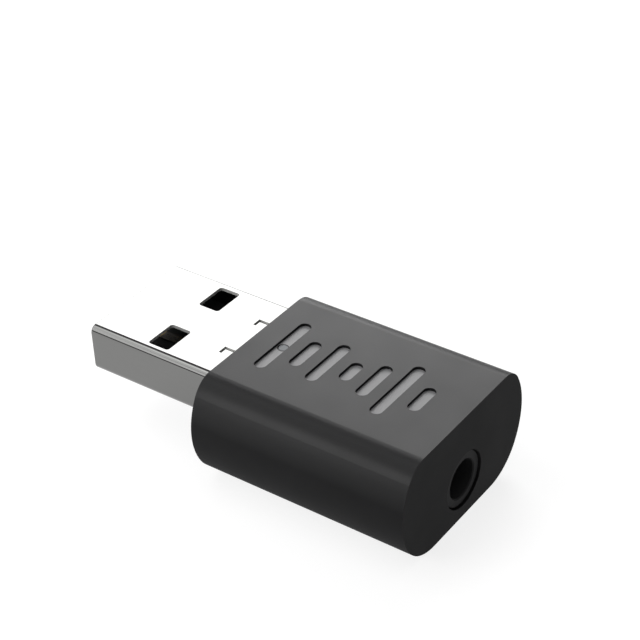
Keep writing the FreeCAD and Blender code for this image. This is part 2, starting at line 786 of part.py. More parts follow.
def contact_places():
    """Return each strip contact's name, middle along Y and front end."""
    power = TIP + s["power_from_tip"]
    data = TIP + s["data_from_tip"]
    return [
        ("usb_contact_power", s["power_spread"] / 2, power),
        ("usb_contact_data_minus", s["data_spread"] / 2, data),
        ("usb_contact_data_plus", -s["data_spread"] / 2, data),
        ("usb_contact_ground", -s["power_spread"] / 2, power),
    ]


def make_usb_insulator():
    """Plastic block in the shell's rear with a tongue that carries the contacts."""
    body = new_body("usb_insulator")
    block = new_sketch(body, "block", "YZ_Plane", BLOCK_FRONT)
    block_top = SHELL_ROOF - s["lance_drop"]
    draw_rectangle(block, -SHELL_HALF, SHELL_HALF, SHELL_FLOOR, block_top)
    pad(body, block, SHELL_REAR - BLOCK_FRONT)
    tongue = new_sketch(body, "tongue", "YZ_Plane", TIP + s["tongue_setback"])
    draw_rectangle(tongue, -SHELL_HALF, SHELL_HALF, SHELL_FLOOR, TONGUE_TOP)
    pad(body, tongue, s["block_from_tip"] - s["tongue_setback"])
    front = TIP + s["tongue_setback"]

    def lead_edge(box):
        """Pick the tongue's upper front edge."""
        upright = near(box.XMin, front) and near(box.XMax, front)
        return upright and near(box.ZMin, TONGUE_TOP) and near(box.ZMax, TONGUE_TOP)

    dress(body, "Chamfer", lead_edge, s["tongue_chamfer"])

    def fold_edge(box):
        """Pick the long edges that lie in the shell's bends."""
        level = near(box.ZMin, box.ZMax) and (near(box.ZMin, SHELL_FLOOR) or near(box.ZMin, block_top))
        side = near(abs(box.YMin), SHELL_HALF) and near(box.YMin, box.YMax)
        return level and side

    dress(body, "Fillet", fold_edge, s["bend_radius"] - s["sheet_thick"])
    for name, middle, start in contact_places():
        channel = new_sketch(body, f"{name}_channel", "YZ_Plane", start)
        low = middle - s["contact_width"] / 2
        draw_rectangle(channel, low, low + s["contact_width"], BOARD_TOP, CONTACT_TOP)
        pocket(body, channel, SHELL_REAR - start, along_normal=True)
    return body


def make_contact(name, middle, start):
    """Strip contact: flat on the tongue, its nose rounded down, its tail on the board."""
    body = new_body(name)
    side = new_sketch(body, "side", "XZ_Plane", -middle)
    tail = SHELL_REAR + s["tail_reach"]
    nose = s["contact_nose"]
    corners = [
        (start, BOARD_TOP),
        (tail, BOARD_TOP),
        (tail, CONTACT_TOP),
        (start + nose, CONTACT_TOP),
        (start, CONTACT_TOP - nose),
    ]
    draw_polygon(side, corners)
    pad_both_ways(body, side, s["contact_width"])
    return body


def spring_places():
    """Return each jack spring's name, side of the bore and apex along X."""
    return [
        ("jack_tip_spring", 1, NOSE_FRONT - s["tip_depth"]),
        ("jack_ring_spring", -1, NOSE_FRONT - s["ring_depth"]),
        ("jack_sleeve_spring", 1, NOSE_FRONT - s["sleeve_depth"]),
    ]


def spring_wall():
    """Return how far out the outer face of a spring's flat root lies."""
    return JACK_HALF - s["spring_skin"]


def peg_places():
    """Return where the jack's two pegs enter the board, along X."""
    middle = (JACK_FRONT + JACK_REAR) / 2
    return [middle - s["peg_spread"] / 2, middle + s["peg_spread"] / 2]


def make_circuit_board():
    """Board with a narrow front between the shell's legs and holes for the jack."""
    body = new_body("circuit_board")
    neck = SHELL_HALF - s["board_gap"]
    outline = new_sketch(body, "outline", "XY_Plane", BOARD_TOP)
    corners = [
        (BOARD_FRONT, -neck),
        (BOARD_STEP, -neck),
        (BOARD_STEP, -BOARD_HALF),
        (BOARD_REAR, -BOARD_HALF),
        (BOARD_REAR, BOARD_HALF),
        (BOARD_STEP, BOARD_HALF),
        (BOARD_STEP, neck),
        (BOARD_FRONT, neck),
    ]
    draw_polygon(outline, corners)
    pad(body, outline, s["board_thick"], backwards=True)

    def rear_corner(box):
        """Pick the upright edges at the two corners by the jack."""
        upright = near(box.ZLength, s["board_thick"])
        return upright and near(box.XMin, BOARD_REAR) and near(box.XMax, BOARD_REAR)

    dress(body, "Fillet", rear_corner, s["board_corner"])
    holes = new_sketch(body, "holes", "XY_Plane", BOARD_TOP)
    for name, side, apex in spring_places():
        pin_middle = (spring_wall() - s["spring_thick"] / 2) * side
        draw_circle(holes, apex - s["spring_length"] / 2, pin_middle, s["pin_width"] / 2 + s["peg_gap"] * 2)
    for place in peg_places():
        draw_circle(holes, place, 0.0, s["peg_radius"] + s["peg_gap"])
    pocket(body, holes, s["board_thick"] * THROUGH)
    return body


def make_jack_body():
    """Jack: a block under the board with a round nose, a blind bore and spring slots."""
    body = new_body("jack_body")
    block = new_sketch(body, "block", "YZ_Plane", JACK_REAR)
    draw_rectangle(block, -JACK_HALF, JACK_HALF, JACK_BOTTOM, BOARD_BOTTOM)
    pad(body, block, JACK_FRONT - JACK_REAR)
    nose = new_sketch(body, "nose", "YZ_Plane", JACK_FRONT)
    draw_circle(nose, 0.0, s["jack_height"], s["nose_radius"])
    pad(body, nose, NOSE_FRONT - JACK_FRONT)
    pegs = new_sketch(body, "pegs", "XY_Plane", BOARD_BOTTOM)
    for place in peg_places():
        draw_circle(pegs, place, 0.0, s["peg_radius"])
    pad(body, pegs, s["board_thick"])
    bore = new_sketch(body, "bore", "YZ_Plane", NOSE_FRONT)
    draw_circle(bore, 0.0, s["jack_height"], s["bore_radius"])
    pocket(body, bore, s["bore_depth"])

    def mouth_edge(box):
        """Pick the bore's rim at the front."""
        level = near(box.XMin, NOSE_FRONT) and near(box.XMax, NOSE_FRONT)
        return level and near(box.YMax, s["bore_radius"])

    dress(body, "Chamfer", mouth_edge, s["mouth_chamfer"])
    chamber = new_sketch(body, "chamber", "YZ_Plane", NOSE_FRONT - s["throat_length"])
    draw_circle(chamber, 0.0, s["jack_height"], s["chamber_radius"])
    pocket(body, chamber, s["bore_depth"] - s["throat_length"])

    # Each spring lies in a slot that opens into the bore, with an upright slot for its pin
    gap = s["spring_gap"]
    half = s["spring_width"] / 2 + gap
    outer = spring_wall()
    inner = outer - s["spring_thick"]
    for name, side, apex in spring_places():
        pin_place = apex - s["spring_length"] / 2
        pin_reach = s["pin_width"] / 2 + gap
        slot_start = pin_place - pin_reach
        slot_end = apex + s["spring_length"] / 2 + gap
        slot = new_sketch(body, f"{name}_slot", "XY_Plane", s["jack_height"] - half)
        draw_rectangle(slot, slot_start, slot_end, (s["bore_radius"] * 0.5) * side, outer * side)
        pocket(body, slot, half * 2, along_normal=True)
        riser = new_sketch(body, f"{name}_riser", "XY_Plane", s["jack_height"])
        draw_rectangle(riser, slot_start, pin_place + pin_reach, (inner - gap) * side, outer * side)
        pocket(body, riser, BOARD_BOTTOM - s["jack_height"], along_normal=True)
    return body


def make_spring(name, side, apex):
    """Leaf spring: a flat root, a bow that reaches into the bore, and a pin to the board."""
    body = new_body(name)
    leaf = new_sketch(body, "leaf", "XY_Plane", s["jack_height"])
    half = s["spring_length"] / 2
    outer = spring_wall()
    root = outer - s["spring_thick"]
    bow = s["bore_radius"] - s["spring_bite"]
    if side > 0:
        thick = s["spring_thick"]
    else:
        thick = -s["spring_thick"]
    leaves_root, rises, falls, tip = [apex + half * share for share in LEAF_BENDS]
    path = [
        (apex - half - s["pin_width"] / 2, root * side),
        (leaves_root, root * side),
        (rises, bow * side),
        (falls, bow * side),
        (tip, (root - s["spring_thick"]) * side),
    ]
    draw_polygon(leaf, strip_outline(path, thick))
    pad_both_ways(body, leaf, s["spring_width"])
    riser = new_sketch(body, "pin", "XY_Plane", s["jack_height"])
    place = apex - half
    width = s["pin_width"] / 2
    draw_rectangle(riser, place - width, place + width, root * side, outer * side)
    pad(body, riser, BOARD_TOP + s["pin_proud"] - s["jack_height"])
    return body


def make_light_pipe():
    """Clear rod from the lamp to the recess floor, with a collar under the boss."""
    body = new_body("light_pipe")
    centre = FRONT + s["bar_start"]
    collar_top = ROOF - s["boss_drop"]
    collar = new_sketch(body, "collar", "XY_Plane", collar_top)
    draw_circle(collar, centre, 0.0, s["pipe_collar_radius"])
    pad(body, collar, s["pipe_collar_thick"], backwards=True)
    rod = new_sketch(body, "rod", "XY_Plane", collar_top)
    draw_circle(rod, centre, 0.0, s["pipe_radius"])
    pad(body, rod, RECESS_FLOOR - collar_top)
    return body


def add_brick(name, middle_x, middle_y, base, length, width, height):
    """Add a plain block that stands on a level, centred in plan."""
    brick = doc.addObject("Part::Box", name)
    corner = (as_size(middle_x) - length / 2, as_size(middle_y) - width / 2, as_size(base))
    for path, size in (("Length", length), ("Width", width), ("Height", height)):
        setattr(brick, path, float(size))
        bind(brick, path, size)
    brick.Placement.Base = FreeCAD.Vector(*[float(c) for c in corner])
    for axis, size in zip("xyz", corner):
        bind(brick, f"Placement.Base.{axis}", size)
    return brick


def add_capped_chip(name, middle_x, middle_y, length, width, height):
    """Add a two-ended chip: a body with a slightly larger cap at each end."""
    lift = s["cap_proud"]
    cap = as_size(length) * CAP_SHARE
    core = add_brick(
        f"{name}_core", middle_x, middle_y, BOARD_TOP + lift,
        length - cap, width - lift * 2, height - lift * 2,
    )
    ends = []
    for side in (-1, 1):
        place = middle_x + (length - cap) / 2 * side
        ends.append(add_brick(f"{name}_cap", place, middle_y, BOARD_TOP, cap, width, height))
    chip = doc.addObject("Part::MultiFuse", name)
    chip.Shapes = [core] + ends
    return chip


def make_chip_row(label, places, length, width, height):
    """Group like two-ended chips in one sub-part."""
    chips = []
    for i, (x, y) in enumerate(places):
        chips.append(add_capped_chip(f"{label}_{i}", x, y, length, width, height))
    row = doc.addObject("Part::Compound", label)
    row.Links = chips
    row.Label = label
    SUB_PARTS.append(row)
    return row


def make_bluetooth_chip():
    """Radio and audio chip: a flat square package with bevelled top edges."""
    body = new_body("bluetooth_chip")
    middle = FRONT + s["radio_from_plug"]
    half = s["radio_side"] / 2
    plan = new_sketch(body, "plan", "XY_Plane", BOARD_TOP)
    draw_rectangle(plan, middle - half, middle + half, -half, half)
    pad(body, plan, s["radio_thick"])
    top = BOARD_TOP + s["radio_thick"]

    def top_edge(box):
        """Pick the four edges of the top face."""
        return near(box.ZMin, top) and near(box.ZMax, top)

    dress(body, "Chamfer", top_edge, s["radio_bevel"])
    return body


def make_crystal():
    """Timing crystal: a ceramic tub with a smaller metal lid."""
    body = new_body("crystal")
    middle = FRONT + s["crystal_from_plug"]
    aside = s["crystal_from_edge"] - BOARD_HALF
    length = s["crystal_length"] / 2
    width = s["crystal_width"] / 2
    rim = s["crystal_rim"]
    tub = new_sketch(body, "tub", "XY_Plane", BOARD_TOP)
    draw_rectangle(tub, middle - length, middle + length, aside - width, aside + width)
    tub_thick = s["crystal_thick"] * TUB_SHARE
    pad(body, tub, tub_thick)
    lid = new_sketch(body, "lid", "XY_Plane", BOARD_TOP + tub_thick)
    draw_rectangle(lid, middle - length + rim, middle + length - rim,
                   aside - width + rim, aside + width - rim)
    pad(body, lid, s["crystal_thick"] - tub_thick)
    return body


def make_voltage_regulator():
    """Three-legged regulator under the board: a small moulded package on flat leads."""
    body = new_body("voltage_regulator")
    middle = FRONT + s["regulator_from_plug"]
    aside = BOARD_HALF - s["regulator_from_edge"]
    half_length = s["regulator_length"] / 2
    half_width = s["regulator_width"] / 2
    half_span = s["regulator_span"] / 2
    half_lead = s["regulator_lead"] / 2
    pitch = half_length * LEAD_SPREAD_SHARE
    package = new_sketch(body, "package", "XY_Plane", BOARD_BOTTOM)
    draw_rectangle(package, middle - half_length, middle + half_length,
                   aside - half_width, aside + half_width)
    pad(body, package, s["regulator_thick"], backwards=True)
    leads = new_sketch(body, "leads", "XY_Plane", BOARD_BOTTOM)
    for place, inner, outer in (
        (middle - pitch, aside - half_span, aside),
        (middle + pitch, aside - half_span, aside),
        (middle, aside, aside + half_span),
    ):
        draw_rectangle(leads, place - half_lead, place + half_lead, inner, outer)
    pad(body, leads, s["regulator_thick"] * LEAD_THICK_SHARE, backwards=True)
    return body


def make_power_inductor():
    """Coil on a ferrite drum under the board: two square flanges and a wound waist."""
    body = new_body("power_inductor")
    middle = FRONT + s["coil_from_plug"]
    aside = s["coil_from_edge"] - BOARD_HALF
    half = s["coil_side"] / 2
    waist = half - s["coil_waist"]
    flange = s["coil_thick"] / 4
    levels = (
        ("upper_flange", BOARD_BOTTOM, flange, half),
        ("winding", BOARD_BOTTOM - flange, flange * 2, waist),
        ("lower_flange", BOARD_BOTTOM - flange * 3, flange, half),
    )
    for name, level, drop, reach in levels:
        plan = new_sketch(body, name, "XY_Plane", level)
        draw_round_rectangle(plan, middle - reach, middle + reach,
                             aside - reach, aside + reach, s["coil_corner"])
        pad(body, plan, drop, backwards=True)
    return body


def make_small_parts():
    """Two-ended chips: the lamp, the antenna, and rows of capacitors and resistors."""
    lamp = [(FRONT + s["bar_start"], as_size(0.0))]
    make_chip_row("status_led", lamp, s["lamp_length"], s["lamp_width"], s["lamp_thick"])
    antenna = [(REAR - s["antenna_from_rear"], BOARD_HALF - s["antenna_from_edge"])]
    make_chip_row("chip_antenna", antenna, s["antenna_length"], s["antenna_width"], s["antenna_thick"])
    supply_x = FRONT + s["supply_from_plug"]
    supply = [(supply_x, s["supply_spread"] / 2), (supply_x, -s["supply_spread"] / 2)]
    make_chip_row("supply_capacitors", supply, s["supply_length"], s["supply_width"], s["supply_thick"])
    audio_x = REAR - s["audio_from_rear"]
    audio = [(audio_x, -s["audio_aside"] - s["audio_spread"] * i) for i in (-0.5, 0.5)]
    make_chip_row("audio_capacitors", audio, s["audio_length"], s["audio_width"], s["audio_thick"])
    small = (s["small_length"], s["small_width"], s["small_thick"])
    first = FRONT + s["decoupling_from_plug"]
    row_y = BOARD_HALF - s["decoupling_from_edge"]
    decoupling = [(first + s["decoupling_pitch"] * i, row_y) for i in range(3)]
    make_chip_row("decoupling_capacitors", decoupling, *small)
    resistor_x = FRONT + s["resistor_from_plug"]
    resistors = [(resistor_x, s["resistor_aside"] - s["resistor_pitch"] * i) for i in range(3)]
    make_chip_row("resistors", resistors, *small)


def check_document():
    """Stop if any object of the document failed or any sub-part has no valid shape."""
    for thing in doc.Objects:
        if "Invalid" in thing.State or "Error" in thing.State:
            raise RuntimeError(f"{thing.Name} failed: {thing.State}")
    for sub_part in SUB_PARTS:
        shape = sub_part.Shape
        if shape.isNull() or not shape.isValid() or not shape.Solids:
            raise RuntimeError(f"{sub_part.Label} has no valid solid")


make_housing()
make_end_plate()
make_usb_shell()
make_usb_insulator()
for name, middle, start in contact_places():
    make_contact(name, middle, start)
make_circuit_board()
make_jack_body()
for name, side, apex in spring_places():
    make_spring(name, side, apex)
make_light_pipe()
make_bluetooth_chip()
make_crystal()
make_voltage_regulator()
make_power_inductor()
make_small_parts()

doc.recompute()
check_document()
os.makedirs("parts", exist_ok=True)
for sub_part in SUB_PARTS:
    sub_part.Shape.exportStep(f"parts/{sub_part.Label}.step")
    solids = sub_part.Shape.Solids
    print(sub_part.Label, len(solids), round(sub_part.Shape.Volume, 3), sub_part.Shape.BoundBox)
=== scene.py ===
"""Looks of a short USB audio adapter: finishes for its CAD nodes, its solder, and a small studio.

Lengths are metres in the CAD frame: X runs from the plug's tip to the jack, Z points up,
and the housing lies on Z = 0. Sizes in the property groups are given in millimetres.
"""
import math

import bmesh
import bpy
from bpy.props import FloatProperty, FloatVectorProperty, PointerProperty
from bpy.types import Operator, Panel, PropertyGroup
from mathutils import Euler, Matrix, Vector


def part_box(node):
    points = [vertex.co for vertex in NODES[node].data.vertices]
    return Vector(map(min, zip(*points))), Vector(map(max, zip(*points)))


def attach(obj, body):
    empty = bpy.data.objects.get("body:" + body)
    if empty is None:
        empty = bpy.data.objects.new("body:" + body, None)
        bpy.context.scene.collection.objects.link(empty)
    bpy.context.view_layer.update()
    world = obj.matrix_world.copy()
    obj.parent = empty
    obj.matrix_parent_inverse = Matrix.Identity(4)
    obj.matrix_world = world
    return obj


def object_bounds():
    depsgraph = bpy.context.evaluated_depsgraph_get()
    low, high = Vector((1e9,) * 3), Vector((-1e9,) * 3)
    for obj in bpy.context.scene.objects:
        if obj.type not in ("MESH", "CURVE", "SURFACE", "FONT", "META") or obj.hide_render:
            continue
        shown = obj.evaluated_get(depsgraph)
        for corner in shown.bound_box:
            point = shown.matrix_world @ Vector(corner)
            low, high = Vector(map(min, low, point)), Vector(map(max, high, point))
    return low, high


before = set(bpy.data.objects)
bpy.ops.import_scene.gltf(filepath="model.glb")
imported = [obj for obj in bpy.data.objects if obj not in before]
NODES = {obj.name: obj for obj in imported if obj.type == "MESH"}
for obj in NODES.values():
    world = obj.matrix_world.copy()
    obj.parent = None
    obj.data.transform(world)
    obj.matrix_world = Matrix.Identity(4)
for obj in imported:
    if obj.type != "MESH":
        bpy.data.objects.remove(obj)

bl_info = {
    "name": "USB audio adapter",
    "version": (1, 0, 0),
    "blender": (4, 5, 0),
    "location": "3D View > Sidebar > Adapter",
    "description": "Finishes, solder and studio for a packed USB audio adapter",
    "category": "Object",
}

MM = 0.001
CAD_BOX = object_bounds()
TIP, TOP = CAD_BOX[0][0], CAD_BOX[1][2]

# How near to a level a point has to lie to be taken as on it
SLACK = 0.01 * MM

# Chips with a metal cap at each end, and the share of a chip's length that one cap takes
CAPPED_CHIPS = ("status_led", "chip_antenna", "supply_capacitors", "audio_capacitors",
                "decoupling_capacitors", "resistors")
CAP_SHARE = 0.22
# Shares of the crystal's height below its lid, of the coil's height in each flange, and of
# the regulator's width between its leads
TUB_SHARE, FLANGE_SHARE, PACKAGE_SHARE = 0.7, 0.25, 0.6
JACK_SPRINGS = ("jack_tip_spring", "jack_ring_spring", "jack_sleeve_spring")
USB_CONTACTS = ("usb_contact_power", "usb_contact_data_minus", "usb_contact_data_plus",
                "usb_contact_ground")

# How far solder climbs a pin and a leg, and the shares of a tail's and a cap's height
PIN_CLIMB, LEG_CLIMB = 0.3 * MM, 0.4 * MM
TAIL_CLIMB, CAP_CLIMB = 0.8, 0.6

# Each lamp's place, its width and height, and the direction that its height follows
LAMPS = {
    # Behind the adapter, where the flat top and the plug's top mirror it
    "key": ((-0.139, 0.237, 0.174), 0.272, 0.16, (-0.834, -0.552, 1.0)),
    # Broad, overhead
    "top": ((-0.03, -0.03, 0.32), 0.30, 0.30, (0.0, 0.0, 1.0)),
    # Long, along the arc that the plug's near bend reflects
    "arch": ((-0.158, -0.072, 0.245), 0.14, 0.226, (0.0, -0.954, -0.3)),
    # Low, for the plug's near side
    "front": ((-0.130, -0.234, 0.136), 0.26, 0.117, (0.0, 0.0, 1.0)),
    # Small and close, for the line of light along the housing's near shoulder
    "strip": ((-0.018, -0.055, 0.033), 0.031, 0.034, (0.0, 0.0, 1.0)),
}

# The floor's half side, and the distances over which its own glow rises to full white
FLOOR_REACH = 1.5
GLOW_FROM, GLOW_TO = 0.04, 0.35
# How far the floor lies under the housing's level underside, so the two don't share a plane
FLOOR_DROP = 0.02 * MM
# How far up the white wall goes that gloss sees, as a sine of the angle over the horizon
WALL_RISE = math.sin(math.radians(2))

# The photograph's camera, fitted to the adapter's outlines: millimetres, shares of the
# frame's width, metres and degrees
SENSOR_WIDTH, FOCAL_LENGTH = 36.0, 94.69
LENS_SHIFT = (-0.0432, 0.1201)
CAMERA_PLACE = (0.06947, -0.09100, 0.09146)
CAMERA_TURN = (52.9456, 0.9483, 34.3293)


def linear(code):
    """Turn an sRGB hex code such as "#2a2b2d" into linear red, green and blue."""
    values = [int(code[i:i + 2], 16) / 255 for i in (1, 3, 5)]
    return tuple(v / 12.92 if v <= 0.04045 else ((v + 0.055) / 1.055) ** 2.4 for v in values)


def add_node(tree, kind, inputs=(), **settings):
    """Add a node, give it its settings, then fill or link each named or numbered input."""
    node = tree.nodes.new(kind)
    for name, value in settings.items():
        setattr(node, name, value)
    for name, value in dict(inputs).items():
        if isinstance(value, bpy.types.NodeSocket):
            tree.links.new(value, node.inputs[name])
        else:
            node.inputs[name].default_value = value
    return node


def new_material(name):
    """Make an empty node material with an output; return its tree and the output."""
    material = bpy.data.materials.new(name)
    material.use_nodes = True
    tree = material.node_tree
    tree.nodes.clear()
    return material, tree, tree.nodes.new("ShaderNodeOutputMaterial")


def within(tree, value, centre, reach):
    """Return a mask that is 1 where a coordinate lies no further than reach from centre."""
    return add_node(tree, "ShaderNodeMath", {0: value, 1: centre, 2: reach},
                    operation="COMPARE").outputs[0]


def both(tree, first, second):
    """Return a mask that is 1 where both masks are."""
    return add_node(tree, "ShaderNodeMath", {0: first, 1: second}, operation="MULTIPLY").outputs[0]


def either(tree, first, second):
    """Return a mask that is 1 where at least one mask is."""
    return add_node(tree, "ShaderNodeMath", {0: first, 1: second}, operation="MAXIMUM").outputs[0]


def opposite(tree, mask):
    """Return a mask that is 1 where the other is 0."""
    return add_node(tree, "ShaderNodeMath", {0: 1.0, 1: mask}, operation="SUBTRACT").outputs[0]


def shades(tone, low, high):
    """Return a colour at two strengths, as a colour mix's two inputs."""
    return {"A": (*[low * c for c in tone], 1), "B": (*[high * c for c in tone], 1)}


def finish(material, *names):
    """Put a material on every slot of the named CAD nodes."""
    for name in names:
        slots = NODES[name].data.materials
        slots.clear()
        slots.append(material)


def millimetres(name, value, about):
    """A length given in millimetres, which the operators use in metres."""
    return FloatProperty(name=name, description=about, default=value * MM, min=0.0,
                         unit="LENGTH", precision=5)


def power(name, value, about):
    """A lamp's power in watts."""
    return FloatProperty(name=name, description=about, default=value, min=0.0, unit="POWER")


def factor(name, value, about):
    """A share from 0 to 1."""
    return FloatProperty(name=name, description=about, default=value, min=0.0, max=1.0,
                         subtype="FACTOR")


def colour(name, code, about):
    """A colour given as its sRGB hex code."""
    return FloatVectorProperty(name=name, description=about, subtype="COLOR", size=3,
                               min=0.0, max=1.0, default=linear(code))


class PlasticLooks(PropertyGroup):
    housing: colour("Housing", "#131314", "Black ABS of the housing and its end plate")
    # The recessed bars' floors take this lighter grey
    recess: colour("Recess floor", "#7e7e7f", "Grey ink rolled into the recessed bars")
    insert: colour("Jack and tongue", "#2c2c2d",
                   "Black glass-filled PBT of the jack and the plug's block")
    pipe: colour("Light pipe", "#94979a", "Diffusing acrylic of the light pipe")
    grain: millimetres("Tool grain", 0.12, "Spacing of the pits left by the spark-eroded mould")
    bar_depth: millimetres("Bar depth", 0.27, "How far the bars' floors lie under the top face")
    # Round the light pipe's axis, the bars' floors keep the housing's colour
    plain_rim: millimetres("Bare rim", 0.52,
                          "Radius round the light pipe's axis that the roller left bare")


class MetalLooks(PropertyGroup):
    nickel: colour("Nickel plate", "#797978", "Bright nickel on the plug's folded steel shell")
    # Bare steel at the cut edges is real. Its light tone is a painted highlight along them
    steel: colour("Sheared steel", "#dcdcda", "Bare steel where the sheet was sheared")
    # Painted shade: the underplate behind the gold is real, but it is painted this dark to stand in
    # for the shade inside the plug's shell
    shaded_underplate: colour("Nickel underplate", "#45433f",
                       "Dull nickel on the contacts behind their gold")
    gold: colour("Gold flash", "#e3c069", "Thin gold plate on the strip contacts")
    tin: colour("Tinned bronze", "#c3bfb4", "Matt tin on the jack's springs and the chips' ends")
    solder: colour("Solder", "#bfc0c2", "Reflowed lead-free solder")
    rolling: millimetres("Rolling lines", 0.05,
                         "Spacing of the fine lines that rolling left along the sheet")
    sheet: millimetres("Sheet", 0.3, "Thickness of the plug shell's sheet")
    bend: millimetres("Bend", 0.65, "Outer radius of the plug shell's four long bends")
    gold_reach: millimetres("Gold reach", 3.8, "How far the gold runs back from the plug's tip")


class BoardLooks(PropertyGroup):
    mask: colour("Solder mask", "#1d5a33", "Green lacquer over bare laminate")
    mask_on_copper: colour("Mask on copper", "#2f7d48",
                           "The same lacquer where copper lies under it")
    laminate: colour("Laminate", "#b3a566", "Glass-epoxy laminate where the board's edge is routed")
    epoxy: colour("Chip epoxy", "#2b2b2e", "Black filled epoxy of the moulded chips")
    ferrite: colour("Ferrite", "#45454a", "Dark sintered ferrite and resistor glaze")
    ceramic: colour("White ceramic", "#dcd9cf",
                    "Fired alumina of the antenna, the lamp and the crystal")
    capacitor: colour("Capacitor ceramic", "#a9805a", "Tan barium titanate of the chip capacitors")
    copper: colour("Enamelled copper", "#b8663a", "Enamelled winding wire of the coil")
    phosphor: colour("Phosphor", "#e8d36a", "Yellow phosphor silicone in the lamp's window")
    track: millimetres("Track width", 0.2, "Width of the copper tracks under the lacquer")
    lead_pitch: millimetres("Lead pitch", 0.5, "Spacing of the flat leads round the radio chip")
    wire: millimetres("Winding wire", 0.1, "Thickness of the coil's wire")
    fillet: millimetres("Solder fillet", 0.22, "How far a solder fillet spreads from its pin")


class StudioLooks(PropertyGroup):
    floor: colour("Floor", "#8c8c8c", "Pale paper floor as the lamps light it")
    glow: factor("Floor glow", 0.8,
                 "Share of the floor's white that needs no lamp, close to the adapter")
    key: power("Key lamp", 0.8, "Power of the soft lamp behind the adapter")
    arch: power("Arch lamp", 0.17, "Power of the long panel over the adapter's near side")
    front: power("Front lamp", 0.18, "Power of the low panel on the adapter's near side")
    strip: power("Strip lamp", 0.0135,
                 "Power of the small strip close to the housing's near shoulder")
    top: power("Top lamp", 0.25, "Power of the lamp straight over the adapter")
    world: factor("World", 0.25, "Strength of the world's light where it isn't white")


def spark_eroded_abs(looks):
    """Black ABS, injection moulded in a spark-eroded tool.

    The tool's fine pits scatter its gloss, so the lamp shows as a broad soft sheen with no
    sharp reflection. The recessed bars' floors carry a lighter grey than the rest.
    """
    material, tree, output = new_material("Spark-eroded black ABS")
    place = add_node(tree, "ShaderNodeTexCoord").outputs["Object"]
    # Pits about a tenth of a millimetre apart; real ones are half that, too fine to show
    pits = add_node(tree, "ShaderNodeTexNoise",
                    {"Vector": place, "Scale": 1 / looks.grain, "Detail": 2.0})
    blotches = add_node(tree, "ShaderNodeTexNoise",
                        {"Vector": place, "Scale": 1 / (30 * looks.grain)})
    bump = add_node(tree, "ShaderNodeBump", {
        "Height": pits.outputs["Fac"], "Strength": 0.25, "Distance": 0.1 * looks.grain})
    # The bars' floors are the only level faces that far under the top
    height = add_node(tree, "ShaderNodeSeparateXYZ", {"Vector": place}).outputs["Z"]
    facing = add_node(tree, "ShaderNodeNewGeometry").outputs["Normal"]
    upward = add_node(tree, "ShaderNodeSeparateXYZ", {"Vector": facing}).outputs["Z"]
    floor = TOP - looks.bar_depth
    lighter_floor = both(tree, within(tree, height, floor, SLACK), within(tree, upward, 1.0, 0.01))
    # The pinhole's rim keeps the housing's colour
    low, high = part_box("light_pipe")
    pinhole = ((low[0] + high[0]) / 2, (low[1] + high[1]) / 2, floor)
    apart = add_node(tree, "ShaderNodeVectorMath", {0: place, 1: pinhole}, operation="DISTANCE")
    rim = within(tree, apart.outputs["Value"], 0.0, looks.plain_rim)
    lighter_floor = both(tree, lighter_floor, opposite(tree, rim))
    # The tool's top was stoned smoother than its flanks and ends
    texture = add_node(tree, "ShaderNodeMapRange", {
        "Value": upward, "From Min": 0.15, "From Max": 0.4, "To Min": 0.8, "To Max": 0.42})
    uneven = add_node(tree, "ShaderNodeMapRange",
                      {"Value": blotches.outputs["Fac"], "To Min": -0.04, "To Max": 0.04})
    roughness = add_node(tree, "ShaderNodeMath", {
        0: texture.outputs["Result"], 1: uneven.outputs["Result"]}, operation="ADD")
    tint = add_node(tree, "ShaderNodeMix", {
        "Factor": lighter_floor, "A": (*looks.housing, 1), "B": (*looks.recess, 1)}, data_type="RGBA")
    shader = add_node(tree, "ShaderNodeBsdfPrincipled", {
        "Base Color": tint.outputs["Result"], "Roughness": roughness.outputs[0],
        "Specular IOR Level": 0.2, "Normal": bump.outputs["Normal"]})
    tree.links.new(shader.outputs[0], output.inputs["Surface"])
    return material


def glass_filled_pbt(looks):
    """Black glass-filled PBT, moulded: matt, with short glass fibres that mottle its skin."""
    material, tree, output = new_material("Glass-filled black PBT")
    place = add_node(tree, "ShaderNodeTexCoord").outputs["Object"]
    fibres = add_node(tree, "ShaderNodeTexNoise",
                      {"Vector": place, "Scale": 1 / (0.3 * MM), "Detail": 4.0})
    tint = add_node(tree, "ShaderNodeMix", {
        "Factor": fibres.outputs["Fac"], **shades(looks.insert, 0.8, 1.2)}, data_type="RGBA")
    roughness = add_node(tree, "ShaderNodeMapRange",
                         {"Value": fibres.outputs["Fac"], "To Min": 0.58, "To Max": 0.74})
    bump = add_node(tree, "ShaderNodeBump",
                    {"Height": fibres.outputs["Fac"], "Strength": 0.15, "Distance": 0.01 * MM})
    shader = add_node(tree, "ShaderNodeBsdfPrincipled", {
        "Base Color": tint.outputs["Result"], "Roughness": roughness.outputs["Result"],
        "Specular IOR Level": 0.1, "Normal": bump.outputs["Normal"]})
    tree.links.new(shader.outputs[0], output.inputs["Surface"])
    return material


